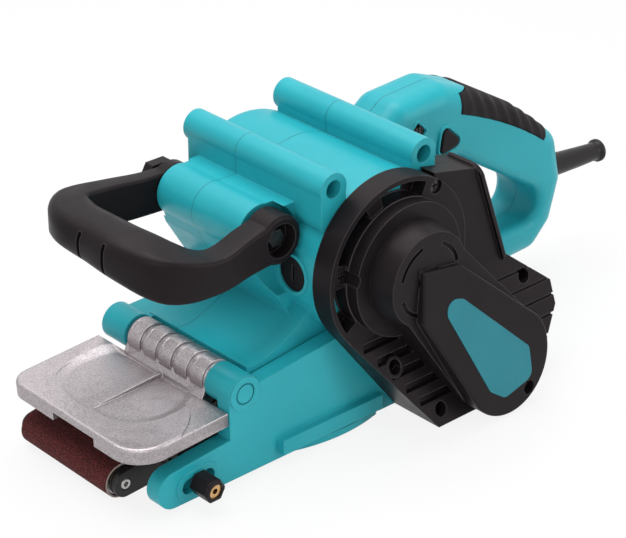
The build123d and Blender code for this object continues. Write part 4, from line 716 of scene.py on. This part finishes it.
# %% [markdown]
# ## The cord boot
# The boot that guards the cord's exit is a rubber tube, thick at the handle, tapering to a lip, and bent up a
# little by its own mould. A curve with a bevel would give one even thickness, so the boot is a stack of rings
# along a bent axis, each with its own radius, closed by the bore that the cord would run in.

# %% Cord boot: rings by their distance along the axis and radius, in mm
BOOT_ROOT = Vector((0.254, 0.0, 0.066))
BOOT_DROOP = math.radians(5.5)
BOOT_BEND = 0.55
BOOT_STRAIGHT = 0.016
BOOT_RINGS = (
    (0.0, 7.6), (8.0, 7.6), (16.0, 7.55), (18.0, 7.4), (26.0, 7.05), (34.0, 6.75), (42.0, 6.45), (50.0, 6.1),
    (56.0, 5.85), (58.2, 5.8), (59.0, 6.1), (59.6, 7.0), (60.2, 7.4), (61.8, 7.4), (62.4, 6.9), (62.5, 5.4),
    (62.0, 3.9), (60.0, 3.6), (40.0, 3.6), (39.6, 1.8),
)
BOOT_SIDES = 48


def boot_axis(distance):
    """A point of the boot's axis and the direction it runs there, in metres."""
    bent = max(distance - BOOT_STRAIGHT, 0.0)
    rise = -math.tan(BOOT_DROOP) * distance + BOOT_BEND * bent * bent
    slope = -math.tan(BOOT_DROOP) + 2 * BOOT_BEND * bent
    run = distance * math.cos(BOOT_DROOP)
    return BOOT_ROOT + Vector((run, 0.0, rise)), Vector((1.0, 0.0, slope)).normalized()


def boot_ring(distance, radius):
    middle, along = boot_axis(distance * MM)
    across = Vector((0.0, 1.0, 0.0))
    upward = along.cross(across)
    turns = full_turn(BOOT_SIDES)
    return [middle / MM + (across * math.cos(a) + upward * math.sin(a)) * radius for a in turns]


def make_cord_boot():
    boot = skinned("cord_boot", [boot_ring(distance, radius) for distance, radius in BOOT_RINGS])
    dressed(boot, "boot_rubber", "base", sharp=None)
    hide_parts("cord_sleeve")
    return boot


cord_boot = make_cord_boot()
print("cord boot:", len(cord_boot.data.vertices), "points")

# %% [markdown]
# ## The front handle's path
# The handle is one moulding: a bar with a broad round top, and two arms whose tops are flat, with a crisp
# edge that starts where the bar turns into the arm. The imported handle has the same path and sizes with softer
# edges. Here it gets the same sections again, with a small corner on the arms and a large one on the bar, and
# a smooth curve through each of their values fills the way between them.

# %% Handle sections: middle x, y and z, heading in degrees, width, height and corner
HANDLE_SECTIONS = (
    (-6.0, -48.5, 126.5, 180.0, 16.8, 25.0, 2.6),
    (-24.0, -48.8, 123.5, 180.0, 16.8, 22.0, 2.2),
    (-46.0, -49.5, 120.0, 176.0, 18.0, 20.0, 2.2),
    (-68.0, -43.0, 124.0, 130.0, 25.0, 26.0, 3.4),
    (-77.0, -22.0, 129.3, 92.0, 30.0, 25.4, 9.0),
    (-78.5, 2.0, 131.0, 92.0, 30.0, 23.5, 10.0),
    (-79.0, 24.0, 132.6, 88.0, 29.0, 20.0, 7.5),
    (-69.0, 39.0, 131.2, 30.0, 19.0, 22.0, 3.0),
    (-46.0, 38.5, 128.5, -5.0, 13.0, 24.0, 2.2),
    (-24.0, 36.5, 127.0, -4.0, 11.5, 23.0, 2.2),
    (-6.0, 35.5, 126.5, 0.0, 8.8, 24.0, 2.2),
)
SECTION_STEPS = 6
CORNER_STEPS = 5


def rounded_box(width, height, corner):
    """Points round a rectangle with round corners, centred on the origin."""
    points = []
    for quarter, (right, up) in enumerate(((1, 1), (-1, 1), (-1, -1), (1, -1))):
        for step in range(CORNER_STEPS + 1):
            angle = (quarter + step / CORNER_STEPS) * math.pi / 2
            across = right * (width / 2 - corner) + corner * math.cos(angle)
            points.append((across, up * (height / 2 - corner) + corner * math.sin(angle)))
    return points


def handle_section(index, share):
    """The section at a share of the way to the next one, on a smooth curve through its neighbours."""
    last = len(HANDLE_SECTIONS) - 1
    around = [HANDLE_SECTIONS[min(max(index + k, 0), last)] for k in (-1, 0, 1, 2)]
    values = []
    for a, b, c, d in zip(*around):
        bend = 2 * a - 5 * b + 4 * c - d + share * (3 * (b - c) + d - a)
        values.append(b + share / 2 * (c - a + share * bend))
    return values


def section_ring(x, y, z, heading, width, height, corner):
    way = math.radians(heading)
    box = rounded_box(width, height, corner)
    return [(x + u * math.sin(way), y - u * math.cos(way), z + v) for u, v in box]


def handle_rings():
    rings = []
    for index in range(len(HANDLE_SECTIONS) - 1):
        for step in range(SECTION_STEPS):
            rings.append(section_ring(*handle_section(index, step / SECTION_STEPS)))
    return rings + [section_ring(*HANDLE_SECTIONS[-1])]


handle_shell = skinned("handle_shell", handle_rings())
print("handle bar and arms:", len(handle_shell.data.vertices), "points")

# %% [markdown]
# ## The front handle's rings and cuts
# Each arm ends in a ring round the bolt. The near one is recessed for the bolt's head, and the bar has two
# slots for the fingers. Rings are joined on and the rest is cut, as a drill and a saw would do it.

# %% Handle rings, slots and bores
RING_AXIS = (-4.0, 126.5)
RING_R = 14.2
RING_ROUND = 1.6
NEAR_RING = (-57.0, -40.0)
FAR_RING = (31.0, 40.0)
RECESS_R = 9.8
RECESS_FLOOR = -49.0
BOLT_R = 4.0
FINGER_SLOTS = (-16.8, 2.9)
FINGER_SLOT_HALF = 1.2
FINGER_SLOT_X = (-100.0, -89.5)
FINGER_SLOT_Z = (100.0, 139.0)
PAST = 5.0


def ring_profile(near, far):
    inner = RING_R - RING_ROUND
    return ((near, inner), (near + RING_ROUND, RING_R), (far - RING_ROUND, RING_R), (far, inner))


def finger_slot(y):
    (left, right), (low, high) = FINGER_SLOT_X, FINGER_SLOT_Z
    corners = ((left, low), (right, low), (right, high), (left, high))
    faces = (y - FINGER_SLOT_HALF, y + FINGER_SLOT_HALF)
    return skinned("slot", [[(x, face, z) for x, z in corners] for face in faces])


def finish_handle(shell):
    for near, far in (NEAR_RING, FAR_RING):
        carved(shell, turned("ring", *RING_AXIS, ring_profile(near, far)), "UNION")
    for y in FINGER_SLOTS:
        carved(shell, finger_slot(y), "DIFFERENCE")
    bore = ((NEAR_RING[0] - PAST, BOLT_R), (FAR_RING[1] + PAST, BOLT_R))
    recess = ((NEAR_RING[0] - PAST, RECESS_R), (RECESS_FLOOR, RECESS_R))
    for profile in (bore, recess):
        carved(shell, turned("drill", *RING_AXIS, profile), "DIFFERENCE")
    dressed(shell, "black_plastic", "handle")
    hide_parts("front_handle")


finish_handle(handle_shell)
print("handle shell:", len(handle_shell.data.vertices), "points")

# %% [markdown]
# ## The saddle in front of the grip
# On top of the handle, the head of the housing runs back into the soft pad in a rounded tongue. The packed
# pad has a straight front edge. So a thin teal patch fills the place. It takes its shape from the packed
# surfaces: rays cast down on them give each point its height.

# %% Saddle patch
SADDLE_FRONT = -5.5 * MM
SADDLE_LONG = 17.0 * MM
SADDLE_HALF = 17.4 * MM
SADDLE_LIFT = 0.06 * MM
SADDLE_THICK = 1.6 * MM
SADDLE_RINGS = 16
SADDLE_SPOKES = 40
SADDLE_REACH = 20.0 * MM
PAD_PROUD = 0.8 * MM
SURFACES = {"grip_pad": PAD_PROUD, "housing_near": 0.0, "housing_far": 0.0}


def saddle_point(long, half, angle, out):
    """A point of the saddle's plan, over the pad's front, in metres."""
    along = SADDLE_FRONT + long * math.cos(angle)
    return GRIP_FRONT + GRIP_ALONG * along + Vector((0.0, half * math.sin(angle), 0.0)) + GRIP_OUT * out


def ray_target(name):
    mesh = nodes[name].data
    return BVHTree.FromPolygons([v.co for v in mesh.vertices], [p.vertices for p in mesh.polygons])


def on_surface(above, targets):
    """The point under a given one on the handle's own surface, and the way that surface faces."""
    hits = []
    for target, sunk in targets:
        place, facing, _, distance = target.ray_cast(above, -GRIP_OUT)
        if place is not None:
            hits.append((distance, place - facing * sunk, facing))
    return min(hits, key=lambda hit: hit[0])[1:]


def make_saddle():
    bm = bmesh.new()
    targets = [(ray_target(name), sunk) for name, sunk in SURFACES.items()]
    spokes = [math.pi * (i / SADDLE_SPOKES - 0.5) for i in range(SADDLE_SPOKES + 1)]
    rows = []
    for ring in range(1, SADDLE_RINGS + 1):
        share = ring / SADDLE_RINGS
        row = []
        for angle in spokes:
            above = saddle_point(SADDLE_LONG * share, SADDLE_HALF * share, angle, SADDLE_REACH)
            place, facing = on_surface(above, targets)
            row.append(bm.verts.new(place + facing * SADDLE_LIFT))
        rows.append(row)
    for first, second in zip(rows, rows[1:]):
        for i in range(SADDLE_SPOKES):
            bm.faces.new((first[i], first[i + 1], second[i + 1], second[i]))
    bm.faces.new(rows[0])
    saddle = as_piece("head_saddle", bm)
    wall = saddle.modifiers.new("wall", "SOLIDIFY")
    wall.thickness = SADDLE_THICK
    wall.offset = -1.0
    baked(saddle)
    return dressed(saddle, "teal_plastic", "base")


head_saddle = make_saddle()
print("saddle:", len(head_saddle.data.vertices), "points")

# %% [markdown]
# ## The pad's front edge
# The rubber ends round the saddle with a narrow gap. The same ellipse, a little larger and drawn out along
# the grip's own outward direction, is the knife.

# %% Cut the pad round the saddle
SADDLE_GAP = 0.5 * MM


def cut_pad_front(cover):
    size = (SADDLE_LONG + SADDLE_GAP, SADDLE_HALF + SADDLE_GAP)
    turns = full_turn(SADDLE_SPOKES)
    depths = (-SADDLE_REACH, SADDLE_REACH)
    loops = [[saddle_point(*size, angle, depth) / MM for angle in turns] for depth in depths]
    carved(cover, skinned("saddle_cut", loops), "DIFFERENCE")


cut_pad_front(grip_cover)
print("grip cover after the cut:", len(grip_cover.data.vertices), "points")

# %% [markdown]
# ## Rims round the lock button and the speed dial
# The lock button sits in a low collar that keeps a finger from brushing it, and the dial's window has a
# narrow raised frame. Both are the same form: an outline with rounded corners, grown step by step, at the
# height that a small profile gives.

# %% Collar and frame
LOCK_CORNERS = ((153.0, 134.0), (150.0, 115.5), (169.0, 119.5))
LOCK_ROUND = 3.0
LOCK_PROFILE = ((0.7, -19.0), (0.7, -21.0), (1.1, -21.5), (1.9, -21.5), (2.4, -21.0), (2.9, -19.0))
DIAL_MIDDLE = (132.6, 135.0)
DIAL_REACH = 6.4
DIAL_ROUND = 0.5
DIAL_PROFILE = ((0.3, -19.4), (0.3, -20.3), (0.6, -20.6), (1.3, -20.6), (1.7, -20.3), (2.0, -19.4))


def rounded_outline(corners, rounding, grow):
    """Points round a polygon given counter-clockwise, its corners rounded and the whole grown."""
    points = []
    for i, corner in enumerate(corners):
        here = Vector(corner)
        before = (here - Vector(corners[i - 1])).normalized()
        after = (Vector(corners[(i + 1) % len(corners)]) - here).normalized()
        start = Vector((before.y, -before.x))
        end = Vector((after.y, -after.x))
        half = start.angle(end) / 2
        centre = here - (start + end).normalized() * rounding / math.cos(half)
        for step in range(CORNER_STEPS + 1):
            way = math.atan2(start.y, start.x) + 2 * half * step / CORNER_STEPS
            points.append(centre + Vector((math.cos(way), math.sin(way))) * (rounding + grow))
    return points


def make_rim(name, corners, rounding, profile):
    loops = []
    for grow, y in profile:
        loops.append([(spot.x, y, spot.y) for spot in rounded_outline(corners, rounding, grow)])
    return dressed(skinned(name, loops, endless=True), "teal_plastic", "base")


def diamond(middle, reach):
    x, z = middle
    return ((x + reach, z), (x, z + reach), (x - reach, z), (x, z - reach))


lock_collar = make_rim("lock_collar", LOCK_CORNERS, LOCK_ROUND, LOCK_PROFILE)
dial_frame = make_rim("dial_frame", diamond(DIAL_MIDDLE, DIAL_REACH), DIAL_ROUND, DIAL_PROFILE)
print("rims:", lock_collar.name, dial_frame.name)

# %% [markdown]
# ## The housing's rim behind the vents
# Through the three long vents of the black cover, the edge of the teal motor barrel shows. It is a curved lip
# that stands in each vent and leaves a dark gap beside it for the air.

# %% Barrel lips in the vents
MOTOR_AXIS = (57.0, 101.5)
LIP_IN, LIP_OUT = 40.3, 44.0
LIP_NEAR, LIP_FAR = -74.4, -68.0
LIP_SECTION = ((LIP_IN, LIP_FAR), (LIP_IN, LIP_NEAR), (LIP_OUT, LIP_NEAR), (LIP_OUT, LIP_FAR))
VENT_ANGLES = ((77.0, 105.0), (123.0, 160.0), (183.0, 209.0))
LIP_SHORT = 0.5
LIP_STEPS = 18


def make_vent_lip(number, start, end):
    x, z = MOTOR_AXIS
    loops = []
    for step in range(LIP_STEPS + 1):
        angle = math.radians(start + LIP_SHORT + (end - start - 2 * LIP_SHORT) * step / LIP_STEPS)
        loops.append([(x + r * math.cos(angle), y, z + r * math.sin(angle)) for r, y in LIP_SECTION])
    return dressed(skinned("vent_lip_" + str(number), loops), "teal_plastic", "base")


vent_lips = [make_vent_lip(number, *angles) for number, angles in enumerate(VENT_ANGLES, 1)]
print(len(vent_lips), "vent lips")

# %% [markdown]
# ## The front roller's axle
# The axle is a turned pin. Its ends are drilled for the lathe's centre and chamfered, which is what the eye
# catches in the dark side of the yoke. Half of its profile is enough, because the other half is its mirror.

# %% Axle with drilled ends
AXLE_DRILL = 2.4
AXLE_DRILL_R = 1.5
AXLE_DRILL_TIP_R = 0.9
AXLE_CHAMFER = 0.7


def make_axle_pin():
    low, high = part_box("front_axle")
    x, z = ((low[i] + high[i]) / 2 / MM for i in (0, 2))
    radius = (high[0] - low[0]) / 2 / MM
    near, far = low[1] / MM, high[1] / MM
    half = [(near + AXLE_DRILL, AXLE_DRILL_TIP_R), (near, AXLE_DRILL_R)]
    half += [(near, radius - AXLE_CHAMFER), (near + AXLE_CHAMFER, radius)]
    mirrored = [(near + far - y, r) for y, r in reversed(half)]
    pin = dressed(turned("axle_pin", x, z, half + mirrored), "steel", "yoke")
    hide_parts("front_axle")
    return pin


axle_pin = make_axle_pin()
print("axle pin:", len(axle_pin.data.vertices), "points")

# %% [markdown]
# ## The floor behind the louvres
# Below the hub, the cover has five slanted louvres. They are dark inside, because a second wall behind them
# keeps chips out of the belt drive. The wall is one leaning plate, with a hole for the screw that passes it.

# %% Louvre floor
TAIL_FOOT = -106.0
TAIL_SLOPE = 0.36
TAIL_LOW = 3.0
PLATE_SINK = (3.4, 4.6)
PLATE_Z = (15.0, 66.0)
PLATE_LEFT = (72.2, 0.778)
PLATE_RIGHT = (99.2, 0.761)
SCREW_PLACE = (48.0, 44.0)
COLLAR_IN, COLLAR_OUT = 4.4, 6.0
COLLAR_FAR = -78.0


def tail_face(z):
    """Where the cover's leaning face is at that height."""
    return TAIL_FOOT + TAIL_SLOPE * (z - TAIL_LOW)


def make_louvre_floor():
    low, high = PLATE_Z
    corners = []
    for z, edge in ((low, PLATE_LEFT), (low, PLATE_RIGHT), (high, PLATE_RIGHT), (high, PLATE_LEFT)):
        corners.append((edge[0] - edge[1] * z, z))
    loops = [[(x, tail_face(z) + sink, z) for x, z in corners] for sink in PLATE_SINK]
    plate = skinned("louvre_floor", loops)
    hole = ((TAIL_FOOT, COLLAR_OUT), (COLLAR_FAR, COLLAR_OUT))
    carved(plate, turned("drill", *SCREW_PLACE, hole), "DIFFERENCE")
    return dressed(plate, "black_plastic", "base")


louvre_floor = make_louvre_floor()
print("louvre floor:", len(louvre_floor.data.vertices), "points")

# %% [markdown]
# ## The screw's collar
# The screw among the louvres sits deep in a round collar, which breaks into the louvre under it. Its rim
# leans with the cover's face, so a plain turned ring won't do. Each point of the rim takes its height from
# the face instead.

# %% Screw collar
COLLAR_PROUD = 0.15
COLLAR_SIDES = 40


def collar_loop(radius, leans):
    loop = []
    for turn in full_turn(COLLAR_SIDES):
        x = SCREW_PLACE[0] + radius * math.cos(turn)
        z = SCREW_PLACE[1] + radius * math.sin(turn)
        loop.append((x, tail_face(z) - COLLAR_PROUD if leans else COLLAR_FAR, z))
    return loop


def make_screw_collar():
    outer = [collar_loop(COLLAR_OUT, leans) for leans in (False, True)]
    inner = [collar_loop(COLLAR_IN, leans) for leans in (True, False)]
    return dressed(skinned("screw_collar", outer + inner, endless=True), "black_plastic", "base")


screw_collar = make_screw_collar()
print("screw collar:", len(screw_collar.data.vertices), "points")

# %% [markdown]
# ## The clamp knob
# A knob on the far end of the handle's bolt locks the handle. What shows of it over the far arm is an angular
# block, so it is a six-sided knob with bevelled rims on a round neck. A turned solid with six sides gives it,
# because a six-sided turn is a hexagon.

# %% Six-sided clamp knob
KNOB_PROFILE = ((43.2, 9.5), (44.2, 12.4), (50.6, 12.4), (52.0, 10.6))
NECK_PROFILE = ((40.5, 7.4), (44.0, 7.4))
KNOB_SIDES = 6
BOLT_ROOM = 0.2
KNOB_BORE_R = BOLT_R + BOLT_ROOM


def make_clamp_knob():
    knob = turned("clamp_knob", *RING_AXIS, KNOB_PROFILE, KNOB_SIDES)
    carved(knob, turned("neck", *RING_AXIS, NECK_PROFILE), "UNION")
    bore = ((FAR_RING[1], KNOB_BORE_R), (KNOB_PROFILE[-1][0] + PAST, KNOB_BORE_R))
    carved(knob, turned("drill", *RING_AXIS, bore), "DIFFERENCE")
    dressed(knob, "black_plastic", "knob")
    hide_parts("handle_knob")
    return knob


clamp_knob = make_clamp_knob()
print("clamp knob:", len(clamp_knob.data.vertices), "points")

# %% [markdown]
# ## The tension spring
# A coil spring pushes the yoke forward and keeps the belt tight. When the lever draws the yoke back, the
# spring gets shorter by as much as the yoke travels. Here the spring rides on the base, and the share of its
# length that it keeps when the yoke has slid all the way is worked out.

# %% Spring on the base, and the share of its length it keeps
def make_coil_spring():
    coil = copied("coil_spring", "tension_spring")
    dressed(coil, "spring_steel", "base")
    low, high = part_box("tension_spring")
    slide = next(joint for joint in record["behaviour"]["joints"] if joint["name"] == "yoke_slide")
    share = 1 - slide["range_m"][1] / (high[0] - low[0])
    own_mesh(coil)
    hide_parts("tension_spring")
    return coil, share


coil_spring, spring_share = make_coil_spring()
print(coil_spring.name, "keeps", round(spring_share, 2), "of its length")

# %% [markdown]
# ## The lid's dishes
# Two hollows are cast into the lid, one on each side of a straight ridge. They are deepest at the hinge and
# rise gently to the front, with soft walls that catch the light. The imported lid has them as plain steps. A
# soft wall of changing depth has no simple tool, so each tool is a block whose underside is worked out point
# by point. A dish is half of an oval with squared shoulders, with its middle at the ridge. The distance from
# the oval's edge gives the depth.

# %% Dish tools: middle along and across the lid, half sizes, squareness, and reach across
LID_REAR = (-54.0, 46.8)
LID_FRONT = (-116.0, 43.2)
LID_SLOPE = (LID_REAR[1] - LID_FRONT[1]) / (LID_REAR[0] - LID_FRONT[0])
FAR_DISH = (-18.0, -12.6, 36.0, 48.0, 2.6, 36.5)
NEAR_DISH = (-21.0, -14.8, 31.0, 36.5, 2.4, -52.0)
DISH_DEEP = 2.5
DISH_WALL = 7.0
DISH_LONG = 54.0
DISH_RISE = 60.0
DISH_STEP = 1.0
DISH_LIFT = 0.4
TOOL_TOP = 4.0


def dish_height(x, y, middle_x, middle_y, half_x, half_y, power):
    """The height of a dish's floor, a little over the lid's face where there is no dish."""
    along = (abs(x - middle_x) / half_x) ** power
    across = (abs(y - middle_y) / half_y) ** power
    inside = half_x * (1 - (along + across) ** (1 / power))
    depth = DISH_DEEP * ramp(inside, 0.0, DISH_WALL) * (1 + x / DISH_RISE)
    return DISH_LIFT * (1 - ramp(depth, 0.0, DISH_LIFT)) - depth


def dish_sheet(dish, top):
    """Rows of points across the lid that follow a dish's floor, or the tool's flat top over it."""
    ridge, reach = dish[1], dish[-1]
    count_x = int(DISH_LONG / DISH_STEP)
    count_y = int(abs(reach - ridge) / DISH_STEP)
    rows = []
    for i in range(count_x + 1):
        x = -DISH_LONG * i / count_x
        row = []
        for j in range(count_y + 1):
            y = ridge + (reach - ridge) * j / count_y
            z = TOOL_TOP if top else dish_height(x, y, *dish[:-1])
            row.append(Vector((LID_REAR[0] + x, y, LID_REAR[1] + LID_SLOPE * x + z)) * MM)
        rows.append(row)
    return rows


def rim_of(rows):
    """The points round the edge of a sheet, in order."""
    outward = [row[-1] for row in rows[1:-1]]
    homeward = [row[0] for row in rows[-2:0:-1]]
    return rows[0] + outward + rows[-1][::-1] + homeward


def dish_tool(dish):
    """A block between two sheets, with a wall of narrow faces round it."""
    bm = bmesh.new()
    sheets = []
    for top in (False, True):
        sheets.append([[bm.verts.new(spot) for spot in row] for row in dish_sheet(dish, top)])
    for rows in sheets:
        for first, second in zip(rows, rows[1:]):
            for j in range(len(first) - 1):
                bm.faces.new((first[j], first[j + 1], second[j + 1], second[j]))
    under, over = (rim_of(rows) for rows in sheets)
    for i in range(len(under)):
        j = (i + 1) % len(under)
        bm.faces.new((under[i], under[j], over[j], over[i]))
    return as_piece("dish_tool", bm)


dish_tools = [dish_tool(dish) for dish in (FAR_DISH, NEAR_DISH)]
print("dish tools:", [len(tool.data.vertices) for tool in dish_tools], "points")

# %% [markdown]
# ## The dished lid
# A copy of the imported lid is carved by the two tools. Carving leaves large flat faces beside tiny ones, and
# plain smooth shading would smear the one into the other. The Weighted Normal modifier lets the large faces
# decide, so that the flats stay flat and the bands of the hinge stay crisp.

# %% Carve the lid
CAST_SHARP = math.radians(19)


def make_dished_lid():
    casting = copied("dished_lid", "front_lid")
    for tool in dish_tools:
        carved(casting, tool, "DIFFERENCE")
    dressed(casting, "cast_aluminium", "lid", sharp=CAST_SHARP)
    weigh = casting.modifiers.new("weigh", "WEIGHTED_NORMAL")
    weigh.keep_sharp = True
    baked(casting)
    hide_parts("front_lid")
    return casting


dished_lid = make_dished_lid()
print("dished lid:", len(dished_lid.data.polygons), "faces")
